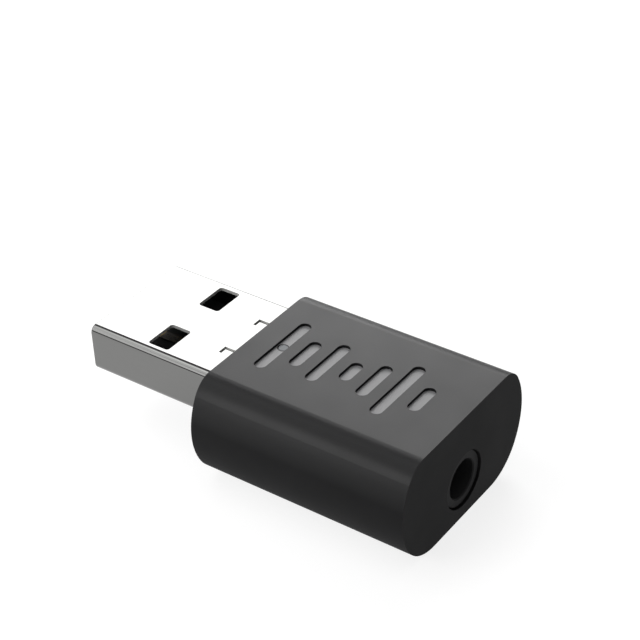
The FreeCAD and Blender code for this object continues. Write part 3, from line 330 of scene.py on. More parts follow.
def diffusing_acrylic(looks):
    """Milky acrylic rod, moulded with a frosted end, so the lamp under it shows as an even dot."""
    material, tree, output = new_material("Diffusing acrylic")
    place = add_node(tree, "ShaderNodeTexCoord").outputs["Object"]
    frost = add_node(tree, "ShaderNodeTexNoise",
                     {"Vector": place, "Scale": 1 / (0.08 * MM), "Detail": 2.0})
    tint = add_node(tree, "ShaderNodeMix", {
        "Factor": frost.outputs["Fac"], **shades(looks.pipe, 0.85, 1.0)}, data_type="RGBA")
    roughness = add_node(tree, "ShaderNodeMapRange",
                         {"Value": frost.outputs["Fac"], "To Min": 0.5, "To Max": 0.65})
    bump = add_node(tree, "ShaderNodeBump",
                    {"Height": frost.outputs["Fac"], "Strength": 0.3, "Distance": 0.01 * MM})
    shader = add_node(tree, "ShaderNodeBsdfPrincipled", {
        "Base Color": tint.outputs["Result"], "Roughness": roughness.outputs["Result"],
        "Transmission Weight": 0.4, "IOR": 1.49, "Specular IOR Level": 0.2,
        "Normal": bump.outputs["Normal"]})
    tree.links.new(shader.outputs[0], output.inputs["Surface"])
    return material


def bright_nickel(looks):
    """Cold-rolled steel strip, folded and bright nickel plated.

    Near-mirror, drawn out along the strip by faint rolling lines, and gently dished between
    the folds, so reflections waver. Where the sheet was sheared, at the mouth and in the
    windows, it is duller bare steel, painted lighter than the plate as a painted highlight
    along those cut edges.
    """
    material, tree, output = new_material("Bright nickel on rolled steel")
    place = add_node(tree, "ShaderNodeTexCoord").outputs["Object"]
    along = add_node(tree, "ShaderNodeMapping", {"Vector": place, "Scale": (0.02, 1.0, 1.0)})
    lines = add_node(tree, "ShaderNodeTexNoise",
                     {"Vector": along.outputs[0], "Scale": 1 / looks.rolling, "Detail": 3.0})
    dishing = add_node(tree, "ShaderNodeTexNoise",
                       {"Vector": place, "Scale": 1 / (5 * MM), "Detail": 1.0})
    fine = add_node(tree, "ShaderNodeBump",
                    {"Height": lines.outputs["Fac"], "Strength": 0.1, "Distance": 0.002 * MM})
    broad = add_node(tree, "ShaderNodeBump", {
        "Height": dishing.outputs["Fac"], "Strength": 0.2, "Distance": 0.02 * MM,
        "Normal": fine.outputs["Normal"]})
    spot = add_node(tree, "ShaderNodeSeparateXYZ", {"Vector": place})
    facing = add_node(tree, "ShaderNodeNewGeometry").outputs["Normal"]
    upward = add_node(tree, "ShaderNodeSeparateXYZ", {"Vector": facing}).outputs["Z"]
    low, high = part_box("usb_shell")
    # An upright wall within the roof's thickness, away from the bends, is a sheared edge
    roof = within(tree, spot.outputs["Z"], high[2] - looks.sheet / 2, looks.sheet / 2)
    flat = within(tree, spot.outputs["Y"], 0.0, high[1] - looks.bend)
    cut = both(tree, both(tree, roof, flat), within(tree, upward, 0.0, 0.3))
    sheared = either(tree, cut, within(tree, spot.outputs["X"], low[0], SLACK))
    polish = add_node(tree, "ShaderNodeMapRange",
                      {"Value": lines.outputs["Fac"], "To Min": 0.03, "To Max": 0.08})
    roughness = add_node(tree, "ShaderNodeMix", {
        "Factor": sheared, "A": polish.outputs["Result"], "B": 0.6}, data_type="FLOAT")
    plate = add_node(tree, "ShaderNodeMix", {
        "Factor": lines.outputs["Fac"], **shades(looks.nickel, 0.94, 1.0)}, data_type="RGBA")
    # Painted highlight: the sheared edges take the lighter steel to stand in for the light they
    # catch
    tint = add_node(tree, "ShaderNodeMix", {
        "Factor": sheared, "A": plate.outputs["Result"], "B": (*looks.steel, 1)}, data_type="RGBA")
    shader = add_node(tree, "ShaderNodeBsdfPrincipled", {
        "Base Color": tint.outputs["Result"], "Metallic": 1.0,
        "Roughness": roughness.outputs["Result"], "Normal": broad.outputs["Normal"]})
    tree.links.new(shader.outputs[0], output.inputs["Surface"])
    return material


def plated_strip(name, tone, rear_tone, plated_to):
    """Bronze strip, plated in one metal up to a line across it and in another behind that.

    The plate is thin and soft, with wipe marks along the strip that roughen its gloss.
    """
    material, tree, output = new_material(name)
    place = add_node(tree, "ShaderNodeTexCoord").outputs["Object"]
    along = add_node(tree, "ShaderNodeMapping", {"Vector": place, "Scale": (0.05, 1.0, 1.0)})
    wipes = add_node(tree, "ShaderNodeTexNoise",
                     {"Vector": along.outputs[0], "Scale": 1 / (0.04 * MM), "Detail": 3.0})
    place_x = add_node(tree, "ShaderNodeSeparateXYZ", {"Vector": place}).outputs["X"]
    behind = add_node(tree, "ShaderNodeMath", {0: place_x, 1: plated_to}, operation="GREATER_THAN")
    # For the gold contacts, the rear tone is the darkened underplate, which is painted shade inside
    # the shell
    plate = add_node(tree, "ShaderNodeMix", {
        "Factor": behind.outputs[0], "A": (*tone, 1), "B": (*rear_tone, 1)}, data_type="RGBA")
    wear = add_node(tree, "ShaderNodeMapRange",
                    {"Value": wipes.outputs["Fac"], "To Min": 0.88, "To Max": 1.0})
    tint = add_node(tree, "ShaderNodeMix", {
        "Factor": 1.0, "A": plate.outputs["Result"], "B": wear.outputs["Result"]},
        data_type="RGBA", blend_type="MULTIPLY")
    roughness = add_node(tree, "ShaderNodeMapRange",
                         {"Value": wipes.outputs["Fac"], "To Min": 0.2, "To Max": 0.38})
    bump = add_node(tree, "ShaderNodeBump",
                    {"Height": wipes.outputs["Fac"], "Strength": 0.15, "Distance": 0.002 * MM})
    shader = add_node(tree, "ShaderNodeBsdfPrincipled", {
        "Base Color": tint.outputs["Result"], "Metallic": 1.0,
        "Roughness": roughness.outputs["Result"], "Normal": bump.outputs["Normal"]})
    tree.links.new(shader.outputs[0], output.inputs["Surface"])
    return material


def reflowed_solder(looks):
    """Lead-free solder, melted in an oven: satin, with the faint grain of its frozen crystals."""
    material, tree, output = new_material("Reflowed solder")
    place = add_node(tree, "ShaderNodeTexCoord").outputs["Object"]
    grains = add_node(tree, "ShaderNodeTexVoronoi", {"Vector": place, "Scale": 1 / (0.06 * MM)})
    tint = add_node(tree, "ShaderNodeMix",
                    {"Factor": grains.outputs["Distance"], **shades(looks.solder, 1.0, 0.85)},
                    data_type="RGBA")
    roughness = add_node(tree, "ShaderNodeMapRange",
                         {"Value": grains.outputs["Distance"], "To Min": 0.22, "To Max": 0.42})
    bump = add_node(tree, "ShaderNodeBump",
                    {"Height": grains.outputs["Distance"], "Strength": 0.2, "Distance": 0.004 * MM})
    shader = add_node(tree, "ShaderNodeBsdfPrincipled", {
        "Base Color": tint.outputs["Result"], "Metallic": 1.0,
        "Roughness": roughness.outputs["Result"], "Normal": bump.outputs["Normal"]})
    tree.links.new(shader.outputs[0], output.inputs["Surface"])
    return material


def lacquered_laminate(looks):
    """Glass-epoxy laminate with etched copper under a screened green lacquer.

    The lacquer is glossy, and stands proud and lighter where a track runs beneath it. The
    routed edge shows the straw-coloured laminate in its layers.
    """
    material, tree, output = new_material("Lacquered glass laminate")
    place = add_node(tree, "ShaderNodeTexCoord").outputs["Object"]
    # Blocks of parallel tracks lie along X or Y, some are all copper, and a via marks each corner
    block = 12 * looks.track
    spot = add_node(tree, "ShaderNodeSeparateXYZ", {"Vector": place})
    swings = [add_node(tree, "ShaderNodeMath", {0: spot.outputs[axis], 1: looks.track},
                       operation="PINGPONG") for axis in ("X", "Y")]
    across = [within(tree, swing.outputs[0], 0.0, looks.track / 2) for swing in swings]
    home = add_node(tree, "ShaderNodeVectorMath", {0: place, 1: (block, block, 1.0)},
                    operation="SNAP")
    lot = add_node(tree, "ShaderNodeTexWhiteNoise", {"Vector": home.outputs[0]},
                   noise_dimensions="2D").outputs["Value"]
    runs = either(tree, both(tree, within(tree, lot, 0.0, 0.4), across[0]),
                  both(tree, within(tree, lot, 0.6, 0.2), across[1]))
    poured = within(tree, lot, 1.0, 0.2)
    corner = add_node(tree, "ShaderNodeTexVoronoi", {
        "Vector": place, "Scale": 1 / block, "Randomness": 0.0}, voronoi_dimensions="2D")
    via = within(tree, corner.outputs["Distance"], 0.0, 1.5 * looks.track / block)
    copper = either(tree, via, either(tree, runs, poured))
    lacquer = add_node(tree, "ShaderNodeMix", {
        "Factor": copper, "A": (*looks.mask, 1), "B": (*looks.mask_on_copper, 1)},
        data_type="RGBA")
    drawn_out = add_node(tree, "ShaderNodeMapping", {"Vector": place, "Scale": (0.1, 0.1, 1.0)})
    layers = add_node(tree, "ShaderNodeTexNoise",
                      {"Vector": drawn_out.outputs[0], "Scale": 1 / (0.08 * MM)})
    laminate = add_node(tree, "ShaderNodeMix",
                        {"Factor": layers.outputs["Fac"], **shades(looks.laminate, 0.7, 1.0)},
                        data_type="RGBA")
    facing = add_node(tree, "ShaderNodeNewGeometry").outputs["Normal"]
    upward = add_node(tree, "ShaderNodeSeparateXYZ", {"Vector": facing}).outputs["Z"]
    edge = within(tree, upward, 0.0, 0.5)
    tint = add_node(tree, "ShaderNodeMix", {
        "Factor": edge, "A": lacquer.outputs["Result"], "B": laminate.outputs["Result"]},
        data_type="RGBA")
    roughness = add_node(tree, "ShaderNodeMapRange", {"Value": edge, "To Min": 0.22, "To Max": 0.8})
    bump = add_node(tree, "ShaderNodeBump",
                    {"Height": copper, "Strength": 0.6, "Distance": 0.035 * MM})
    shader = add_node(tree, "ShaderNodeBsdfPrincipled", {
        "Base Color": tint.outputs["Result"], "Roughness": roughness.outputs["Result"],
        "Normal": bump.outputs["Normal"]})
    tree.links.new(shader.outputs[0], output.inputs["Surface"])
    return material


def shade_body_and_metal(tree, output, mask, body, body_rough, metal, metal_rough, bump):
    """Shade with a dull body where the mask is 0 and with bare metal where it is 1."""
    tint = add_node(tree, "ShaderNodeMix",
                    {"Factor": mask, "A": body, "B": (*metal, 1)}, data_type="RGBA")
    roughness = add_node(tree, "ShaderNodeMix",
                         {"Factor": mask, "A": body_rough, "B": metal_rough}, data_type="FLOAT")
    shader = add_node(tree, "ShaderNodeBsdfPrincipled", {
        "Base Color": tint.outputs["Result"], "Metallic": mask,
        "Roughness": roughness.outputs["Result"], "Normal": bump.outputs["Normal"]})
    tree.links.new(shader.outputs[0], output.inputs["Surface"])


def filled_epoxy(looks, tin, name):
    """Black epoxy full of silica, transfer moulded on tinned copper leads.

    Dull with a fine sparkle. The radio's leads are flat pads round its foot, and a smooth
    moulded dot marks its first one; the regulator's leads stand out from its long sides.
    """
    material, tree, output = new_material(f"Filled epoxy of {name.replace('_', ' ')}")
    low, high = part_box(name)
    middle = [(a + b) / 2 for a, b in zip(low, high)]
    place = add_node(tree, "ShaderNodeTexCoord").outputs["Object"]
    spot = add_node(tree, "ShaderNodeSeparateXYZ", {"Vector": place})
    silica = add_node(tree, "ShaderNodeTexNoise",
                      {"Vector": place, "Scale": 1 / (0.05 * MM), "Detail": 3.0})
    tint = add_node(tree, "ShaderNodeMix", {
        "Factor": silica.outputs["Fac"], **shades(looks.epoxy, 0.7, 1.3)}, data_type="RGBA")
    rough = add_node(tree, "ShaderNodeMapRange", {
        "Value": silica.outputs["Fac"], "To Min": 0.5, "To Max": 0.7}).outputs["Result"]
    bump = add_node(tree, "ShaderNodeBump",
                    {"Height": silica.outputs["Fac"], "Strength": 0.2, "Distance": 0.01 * MM})
    if name == "bluetooth_chip":
        # Leads repeat along Y on the faces that look along X, and along X on the other two
        facing = add_node(tree, "ShaderNodeNewGeometry").outputs["Normal"]
        facing_x = add_node(tree, "ShaderNodeSeparateXYZ", {"Vector": facing}).outputs["X"]
        offset_x, offset_y = [
            add_node(tree, "ShaderNodeMath", {0: spot.outputs[axis], 1: centre},
                     operation="SUBTRACT").outputs[0]
            for axis, centre in (("X", middle[0]), ("Y", middle[1]))]
        count = add_node(tree, "ShaderNodeMix", {
            "Factor": within(tree, facing_x, 0.0, 0.5), "A": offset_y, "B": offset_x},
            data_type="FLOAT")
        step = add_node(tree, "ShaderNodeMath", {
            0: count.outputs["Result"], 1: looks.lead_pitch / 2}, operation="PINGPONG")
        lead = within(tree, step.outputs[0], 0.0, looks.lead_pitch / 4)
        lead_height, dot_radius, dot_inset = 0.2 * MM, 0.2 * MM, 0.7 * MM
        metal = both(tree, lead, within(tree, spot.outputs["Z"], low[2], lead_height))
        apart = add_node(tree, "ShaderNodeVectorMath", {
            0: place, 1: (low[0] + dot_inset, high[1] - dot_inset, high[2])}, operation="DISTANCE")
        dot = within(tree, apart.outputs["Value"], 0.0, dot_radius)
        rough = add_node(tree, "ShaderNodeMix", {"Factor": dot, "A": rough, "B": 0.25},
                         data_type="FLOAT").outputs["Result"]
    else:
        half_package = PACKAGE_SHARE / 2 * (high[1] - low[1])
        metal = opposite(tree, within(tree, spot.outputs["Y"], middle[1], half_package))
    shade_body_and_metal(tree, output, metal, tint.outputs["Result"], rough, tin, 0.3, bump)
    return material


def lidded_ceramic(looks, tin):
    """Fired ceramic tub with a plated lid, roller-welded shut, which dulls the lid's margin."""
    material, tree, output = new_material("Ceramic tub with welded lid")
    low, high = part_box("crystal")
    middle = [(a + b) / 2 for a, b in zip(low, high)]
    place = add_node(tree, "ShaderNodeTexCoord").outputs["Object"]
    spot = add_node(tree, "ShaderNodeSeparateXYZ", {"Vector": place})
    tub_top = low[2] + TUB_SHARE * (high[2] - low[2])
    lid = add_node(tree, "ShaderNodeMath", {0: spot.outputs["Z"], 1: tub_top + SLACK},
                   operation="GREATER_THAN").outputs[0]
    margin = 0.35 * MM
    inner = both(tree, within(tree, spot.outputs["X"], middle[0], (high[0] - low[0]) / 2 - margin),
                 within(tree, spot.outputs["Y"], middle[1], (high[1] - low[1]) / 2 - margin))
    lid_rough = add_node(tree, "ShaderNodeMapRange",
                         {"Value": inner, "To Min": 0.45, "To Max": 0.18}).outputs["Result"]
    specks = add_node(tree, "ShaderNodeTexNoise",
                      {"Vector": place, "Scale": 1 / (0.1 * MM), "Detail": 3.0})
    tint = add_node(tree, "ShaderNodeMix", {
        "Factor": specks.outputs["Fac"], **shades(looks.ceramic, 0.85, 1.0)}, data_type="RGBA")
    bump = add_node(tree, "ShaderNodeBump",
                    {"Height": specks.outputs["Fac"], "Strength": 0.1, "Distance": 0.01 * MM})
    shade_body_and_metal(tree, output, lid, tint.outputs["Result"], 0.6, tin, lid_rough, bump)
    return material


def wound_ferrite(looks):
    """Sintered ferrite drum, dark and dull, with glossy enamelled wire between its flanges."""
    material, tree, output = new_material("Wound ferrite drum")
    low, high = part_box("power_inductor")
    place = add_node(tree, "ShaderNodeTexCoord").outputs["Object"]
    height = add_node(tree, "ShaderNodeSeparateXYZ", {"Vector": place}).outputs["Z"]
    half_waist = (0.5 - FLANGE_SHARE) * (high[2] - low[2])
    wire = within(tree, height, (low[2] + high[2]) / 2, half_waist - SLACK)
    # At scale 1 the node's wave turns 20 radians for each metre
    turns = add_node(tree, "ShaderNodeTexWave", {
        "Vector": place, "Scale": math.tau / 20 / looks.wire},
        bands_direction="Z", wave_profile="SIN")
    sinter = add_node(tree, "ShaderNodeTexNoise",
                      {"Vector": place, "Scale": 1 / (0.08 * MM), "Detail": 4.0})
    relief = add_node(tree, "ShaderNodeMix", {
        "Factor": wire, "A": sinter.outputs["Fac"], "B": turns.outputs["Fac"]}, data_type="FLOAT")
    bump = add_node(tree, "ShaderNodeBump",
                    {"Height": relief.outputs["Result"], "Strength": 0.4, "Distance": 0.03 * MM})
    tint = add_node(tree, "ShaderNodeMix", {
        "Factor": sinter.outputs["Fac"], **shades(looks.ferrite, 0.75, 1.2)}, data_type="RGBA")
    shade_body_and_metal(tree, output, wire, tint.outputs["Result"], 0.65, looks.copper, 0.22,
                         bump)
    return material


def capped_ceramic(looks, tin, name, tone):
    """Small block of fired ceramic, diced, with its ends dipped in metal and tinned.

    A resistor carries a dark glaze on its upper face, and the lamp a window of phosphor.
    """
    material, tree, output = new_material(f"Capped ceramic of {name.replace('_', ' ')}")
    place = add_node(tree, "ShaderNodeTexCoord").outputs["Object"]
    spot = add_node(tree, "ShaderNodeSeparateXYZ", {"Vector": place})
    caps = 0.0
    for low, high in solids(name):
        span = high[0] - low[0]
        middle = (low[0] + high[0]) / 2
        chip = within(tree, spot.outputs["X"], middle, span / 2 + SLACK)
        bare = within(tree, spot.outputs["X"], middle, span * (0.5 - CAP_SHARE))
        caps = either(tree, caps, both(tree, chip, opposite(tree, bare)))
    specks = add_node(tree, "ShaderNodeTexNoise",
                      {"Vector": place, "Scale": 1 / (0.1 * MM), "Detail": 3.0})
    tint = add_node(tree, "ShaderNodeMix", {
        "Factor": specks.outputs["Fac"], **shades(tone, 0.85, 1.1)},
        data_type="RGBA").outputs["Result"]
    rough = 0.55
    cover = {"resistors": looks.ferrite, "status_led": looks.phosphor}.get(name)
    if cover:
        facing = add_node(tree, "ShaderNodeNewGeometry").outputs["Normal"]
        upward = add_node(tree, "ShaderNodeSeparateXYZ", {"Vector": facing}).outputs["Z"]
        covered = within(tree, upward, 1.0, 0.1)
        tint = add_node(tree, "ShaderNodeMix", {"Factor": covered, "A": tint, "B": (*cover, 1)},
                        data_type="RGBA").outputs["Result"]
        rough = add_node(tree, "ShaderNodeMapRange",
                         {"Value": covered, "To Min": rough, "To Max": 0.2}).outputs["Result"]
    bump = add_node(tree, "ShaderNodeBump",
                    {"Height": specks.outputs["Fac"], "Strength": 0.15, "Distance": 0.01 * MM})
    shade_body_and_metal(tree, output, caps, tint, rough, tin, 0.32, bump)
    return material


def solids(name):
    """Return the lowest and highest corner of each separate solid in a CAD node, in order."""
    form = bmesh.new()
    form.from_mesh(NODES[name].data)
    bmesh.ops.remove_doubles(form, verts=form.verts, dist=0.001 * MM)
    left = set(form.verts)
    boxes = []
    while left:
        front = {left.pop()}
        reached = []
        while front:
            vert = front.pop()
            reached.append(vert.co.copy())
            near = {edge.other_vert(vert) for edge in vert.link_edges} & left
            left -= near
            front |= near
        boxes.append(tuple(tuple(pick(co[axis] for co in reached) for axis in range(3))
                           for pick in (min, max)))
    form.free()
    return sorted(boxes)


def hollow_curve(reach, rise, steps=6):
    """Return a fillet's section as (out, up) pairs: its hollow face, then the corner behind it."""
    turns = [math.pi / 2 * i / steps for i in range(steps + 1)]
    return [(reach * (1 - math.sin(t)), rise * (1 - math.cos(t))) for t in turns] + [(0.0, 0.0)]


def add_skirt(form, low, high, level, reach, rise):
    """Run a fillet all round an upright post, given its plan and the level of the board."""
    corners = ((high[0], high[1]), (low[0], high[1]), (low[0], low[1]), (high[0], low[1]))
    corner_steps = 4
    rings = []
    for out, up in hollow_curve(reach, rise):
        ring = []
        for quarter, (x, y) in enumerate(corners):
            for i in range(corner_steps + 1):
                turn = math.pi / 2 * (quarter + i / corner_steps)
                spot = (x + out * math.cos(turn), y + out * math.sin(turn), level + up)
                ring.append(form.verts.new(spot))
        rings.append(ring)
    join_rings(form, rings + rings[:1])


def add_ridge(form, start, end, outward, reach, rise):
    """Run a fillet along a straight corner from start to end, spreading outward along Y."""
    rings = []
    for x in (start[0], end[0]):
        rings.append([form.verts.new((x, start[1] + outward * out, start[2] + up))
                      for out, up in hollow_curve(reach, rise)])
    join_rings(form, rings)
    for ring in rings:
        form.faces.new(ring)


def join_rings(form, rings):
    """Join each ring of points to the next with quads."""
    for first, second in zip(rings, rings[1:]):
        for i in range(len(first)):
            j = (i + 1) % len(first)
            form.faces.new((first[i], first[j], second[j], second[i]))


def make_solder(looks, sheet):
    """Build every solder fillet on the board as one piece: pins, tails, legs and chips' ends."""
    board_low, board_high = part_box("circuit_board")
    underneath, on_top = board_low[2], board_high[2]
    form = bmesh.new()
    for name in JACK_SPRINGS:
        pin = [v.co for v in NODES[name].data.vertices if v.co.z > on_top + SLACK]
        low = [min(co[axis] for co in pin) for axis in range(2)]
        high = [max(co[axis] for co in pin) for axis in range(2)]
        add_skirt(form, low, high, on_top, looks.fillet, PIN_CLIMB)
    for name in USB_CONTACTS:
        low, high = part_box(name)
        tail_start = board_low[0] + 0.5 * MM
        add_skirt(form, (tail_start, low[1]), (high[0], high[1]), on_top, looks.fillet,
                  TAIL_CLIMB * (high[2] - low[2]))
    for name in CAPPED_CHIPS:
        for low, high in solids(name):
            cap = CAP_SHARE * (high[0] - low[0])
            reach = min(looks.fillet, (high[1] - low[1]) / 4)
            for start, end in ((low[0], low[0] + cap), (high[0] - cap, high[0])):
                add_skirt(form, (start, low[1]), (end, high[1]), on_top, reach,
                          CAP_CLIMB * (high[2] - low[2]))
    shell_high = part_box("usb_shell")[1]
    leg_inside = shell_high[1] - sheet
    leg_margin = 0.2 * MM
    for side in (-1, 1):
        for level, rise in ((on_top, LEG_CLIMB), (underneath, -LEG_CLIMB)):
            start = (board_low[0] + leg_margin, side * leg_inside, level)
            end = (shell_high[0] - leg_margin, side * leg_inside, level)
            add_ridge(form, start, end, -side, 1.5 * looks.fillet, rise)
    bmesh.ops.remove_doubles(form, verts=form.verts, dist=0.0001 * MM)
    bmesh.ops.recalc_face_normals(form, faces=form.faces)
    mesh = bpy.data.meshes.new("solder")
    form.to_mesh(mesh)
    form.free()
    mesh.shade_smooth()
    mesh.set_sharp_from_angle(angle=math.radians(50))
    solder = bpy.data.objects.new("solder", mesh)
    bpy.context.scene.collection.objects.link(solder)
    return solder


class ADAPTER_OT_housing(Operator):
    """Give the housing and its end plate their moulded plastic"""
    bl_idname = "adapter.housing"
    bl_label = "Finish housing"

    def execute(self, context):
        finish(spark_eroded_abs(context.scene.adapter_plastic), "housing", "end_plate")
        return {"FINISHED"}


class ADAPTER_OT_inserts(Operator):
    """Give the jack and the plug's block their plastic, and the light pipe its acrylic"""
    bl_idname = "adapter.inserts"
    bl_label = "Finish jack, tongue and light pipe"

    def execute(self, context):
        looks = context.scene.adapter_plastic
        finish(glass_filled_pbt(looks), "jack_body", "usb_insulator")
        finish(diffusing_acrylic(looks), "light_pipe")
        return {"FINISHED"}


class ADAPTER_OT_plug_shell(Operator):
    """Plate the plug's folded shell"""
    bl_idname = "adapter.plug_shell"
    bl_label = "Plate plug shell"

    def execute(self, context):
        finish(bright_nickel(context.scene.adapter_metal), "usb_shell")
        return {"FINISHED"}


class ADAPTER_OT_contacts(Operator):
    """Plate the plug's contacts and the jack's springs"""
    bl_idname = "adapter.contacts"
    bl_label = "Plate contacts and springs"

    def execute(self, context):
        looks = context.scene.adapter_metal
        gold_end = TIP + looks.gold_reach
        # The underplate behind the gold is painted dark, as painted shade inside the plug's shell
        gold = plated_strip("Gold flash on bronze", looks.gold, looks.shaded_underplate, gold_end)
        tin = plated_strip("Tinned spring bronze", looks.tin, looks.tin, gold_end)
        finish(gold, *USB_CONTACTS)
        finish(tin, *JACK_SPRINGS)
        return {"FINISHED"}


class ADAPTER_OT_board(Operator):
    """Lacquer the circuit board"""
    bl_idname = "adapter.board"
    bl_label = "Finish circuit board"

    def execute(self, context):
        finish(lacquered_laminate(context.scene.adapter_board), "circuit_board")
        return {"FINISHED"}


class ADAPTER_OT_chips(Operator):
    """Finish the radio chip, the regulator, the crystal and the coil"""
    bl_idname = "adapter.chips"
    bl_label = "Finish chips and coil"

    def execute(self, context):
        looks = context.scene.adapter_board
        tin = context.scene.adapter_metal.tin
        for name in ("bluetooth_chip", "voltage_regulator"):
            finish(filled_epoxy(looks, tin, name), name)
        finish(lidded_ceramic(looks, tin), "crystal")
        finish(wound_ferrite(looks), "power_inductor")
        return {"FINISHED"}


class ADAPTER_OT_capped_chips(Operator):
    """Finish the lamp, the antenna, the capacitors and the resistors"""
    bl_idname = "adapter.capped_chips"
    bl_label = "Finish small chips"

    def execute(self, context):
        looks = context.scene.adapter_board
        tin = context.scene.adapter_metal.tin
        for name in CAPPED_CHIPS:
            tone = looks.capacitor if name.endswith("capacitors") else looks.ceramic
            finish(capped_ceramic(looks, tin, name, tone), name)
        return {"FINISHED"}


class ADAPTER_OT_solder(Operator):
    """Solder the pins, tails, legs and chips to the board"""
    bl_idname = "adapter.solder"
    bl_label = "Add solder"

    def execute(self, context):
        metal = context.scene.adapter_metal
        solder = make_solder(context.scene.adapter_board, metal.sheet)
        solder.data.materials.append(reflowed_solder(metal))
        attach(solder, "root")
        return {"FINISHED"}


class ADAPTER_OT_stage(Operator):
    """Set the floor, the lamps, the world and the camera"""
    bl_idname = "adapter.stage"
    bl_label = "Set up studio"

    def execute(self, context):
        scene = context.scene
        looks = scene.adapter_studio
        make_floor(looks)
        for name, (place, width, height, upright) in LAMPS.items():
            make_lamp(f"{name}_lamp", getattr(looks, name), place, width, height, upright)
        make_world(scene, looks)
        make_camera(scene)
        scene.view_settings.view_transform = "Standard"
        return {"FINISHED"}


def seen_directly(tree):
    """Return a mask that is 1 for rays from the camera."""
    return add_node(tree, "ShaderNodeLightPath").outputs["Is Camera Ray"]


def seen_in_gloss(tree):
    """Return a mask that is 1 for rays from gloss or glass."""
    path = add_node(tree, "ShaderNodeLightPath")
    return either(tree, path.outputs["Is Glossy Ray"], path.outputs["Is Transmission Ray"])


def make_floor(looks):
    """Lay a wide sheet of pale paper that glows where it is seen, the more so further out.

    It is clear from below, so the adapter's underside can be looked at too.
    """
    mesh = bpy.data.meshes.new("floor")
    form = bmesh.new()
    bmesh.ops.create_grid(form, x_segments=8, y_segments=8, size=FLOOR_REACH)
    form.to_mesh(mesh)
    form.free()
    floor = bpy.data.objects.new("floor", mesh)
    floor.location.z = -FLOOR_DROP
    bpy.context.scene.collection.objects.link(floor)
    material, tree, output = new_material("White paper")
    place = add_node(tree, "ShaderNodeTexCoord").outputs["Object"]
    apart = add_node(tree, "ShaderNodeVectorMath", {0: place}, operation="LENGTH")
    glow = add_node(tree, "ShaderNodeMapRange", {
        "Value": apart.outputs["Value"], "From Min": GLOW_FROM, "From Max": GLOW_TO,
        "To Min": looks.glow, "To Max": 1.0})
    seen = either(tree, seen_directly(tree), seen_in_gloss(tree))
    share = both(tree, seen, glow.outputs["Result"])
    paper = add_node(tree, "ShaderNodeBsdfDiffuse", {"Color": (*looks.floor, 1)})
    light = add_node(tree, "ShaderNodeEmission", {"Color": (1, 1, 1, 1), "Strength": share})
    lit_paper = add_node(tree, "ShaderNodeAddShader", {0: paper.outputs[0], 1: light.outputs[0]})
    clear = add_node(tree, "ShaderNodeBsdfTransparent")
    below = add_node(tree, "ShaderNodeNewGeometry").outputs["Backfacing"]
    sheet = add_node(tree, "ShaderNodeMixShader",
                     {0: below, 1: lit_paper.outputs[0], 2: clear.outputs[0]})
    tree.links.new(sheet.outputs[0], output.inputs["Surface"])
    mesh.materials.append(material)


def make_lamp(name, energy, place, width, height, upright):
    """Hang a soft panel that faces the adapter, its height along the upright direction."""
    lamp = bpy.data.lights.new(name, "AREA")
    lamp.shape = "RECTANGLE"
    lamp.size = width
    lamp.size_y = height
    lamp.energy = energy
    holder = bpy.data.objects.new(name, lamp)
    back = Vector(place).normalized()
    right = Vector(upright).cross(back).normalized()
    turned = Matrix((right, back.cross(right), back)).transposed().to_4x4()
    holder.matrix_world = Matrix.Translation(place) @ turned
    holder.visible_camera = False
    bpy.context.scene.collection.objects.link(holder)


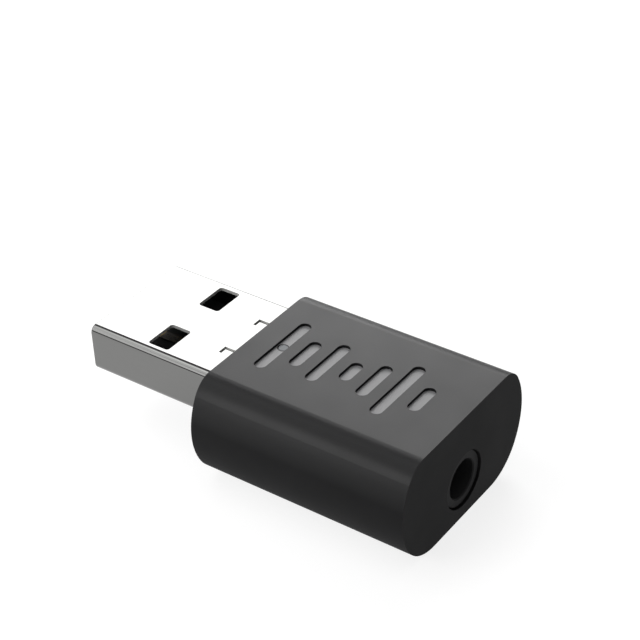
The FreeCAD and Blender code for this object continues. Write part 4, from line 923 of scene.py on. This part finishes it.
def make_world(scene, looks):
    """Surround the adapter with dim light that the camera sees as white.

    Gloss sees a low white wall at the horizon, and the dim light over it.
    """
    world = bpy.data.worlds.new("studio")
    world.use_nodes = True
    tree = world.node_tree
    tree.nodes.clear()
    heading = add_node(tree, "ShaderNodeTexCoord").outputs["Generated"]
    rise = add_node(tree, "ShaderNodeSeparateXYZ", {"Vector": heading}).outputs["Z"]
    wall = add_node(tree, "ShaderNodeMapRange", {
        "Value": rise, "From Min": 0.0, "From Max": WALL_RISE, "To Min": 1.0, "To Max": 0.0})
    mirrored = both(tree, seen_in_gloss(tree), wall.outputs["Result"])
    white = either(tree, seen_directly(tree), mirrored)
    strength = add_node(tree, "ShaderNodeMapRange", {"Value": white, "To Min": looks.world})
    sky = add_node(tree, "ShaderNodeBackground",
                   {"Color": (1, 1, 1, 1), "Strength": strength.outputs["Result"]})
    output = tree.nodes.new("ShaderNodeOutputWorld")
    tree.links.new(sky.outputs[0], output.inputs["Surface"])
    scene.world = world


def make_camera(scene):
    """Stand where the photograph was taken from: right of the jack end, looking down 37 degrees."""
    lens = bpy.data.cameras.new("camera")
    lens.sensor_width = SENSOR_WIDTH
    lens.lens = FOCAL_LENGTH
    lens.shift_x, lens.shift_y = LENS_SHIFT
    lens.clip_start = 0.01
    camera = bpy.data.objects.new("camera", lens)
    camera.location = CAMERA_PLACE
    camera.rotation_euler = Euler([math.radians(turn) for turn in CAMERA_TURN], "XYZ")
    scene.collection.objects.link(camera)
    scene.camera = camera


class ADAPTER_PT_panel(Panel):
    """Lists the adapter's pieces and their settings"""
    bl_idname = "ADAPTER_PT_panel"
    bl_label = "Adapter"
    bl_space_type = "VIEW_3D"
    bl_region_type = "UI"
    bl_category = "Adapter"

    def draw(self, context):
        layout = self.layout
        for operator in OPERATORS:
            layout.operator(operator.bl_idname)
        for name in GROUPS:
            looks = getattr(context.scene, name)
            box = layout.box()
            for field in looks.__annotations__:
                box.prop(looks, field)


OPERATORS = (ADAPTER_OT_housing, ADAPTER_OT_inserts, ADAPTER_OT_plug_shell, ADAPTER_OT_contacts,
             ADAPTER_OT_board, ADAPTER_OT_chips, ADAPTER_OT_capped_chips, ADAPTER_OT_solder,
             ADAPTER_OT_stage)
GROUPS = {"adapter_plastic": PlasticLooks, "adapter_metal": MetalLooks,
          "adapter_board": BoardLooks, "adapter_studio": StudioLooks}


def register():
    for kind in (*GROUPS.values(), *OPERATORS, ADAPTER_PT_panel):
        bpy.utils.register_class(kind)
    for name, kind in GROUPS.items():
        setattr(bpy.types.Scene, name, PointerProperty(type=kind))


def unregister():
    for name in GROUPS:
        delattr(bpy.types.Scene, name)
    for kind in reversed((*GROUPS.values(), *OPERATORS, ADAPTER_PT_panel)):
        bpy.utils.unregister_class(kind)


def main():
    """Register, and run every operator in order."""
    register()
    for operator in OPERATORS:
        group, name = operator.bl_idname.split(".")
        getattr(getattr(bpy.ops, group), name)()


if __name__ == "__main__":
    main()
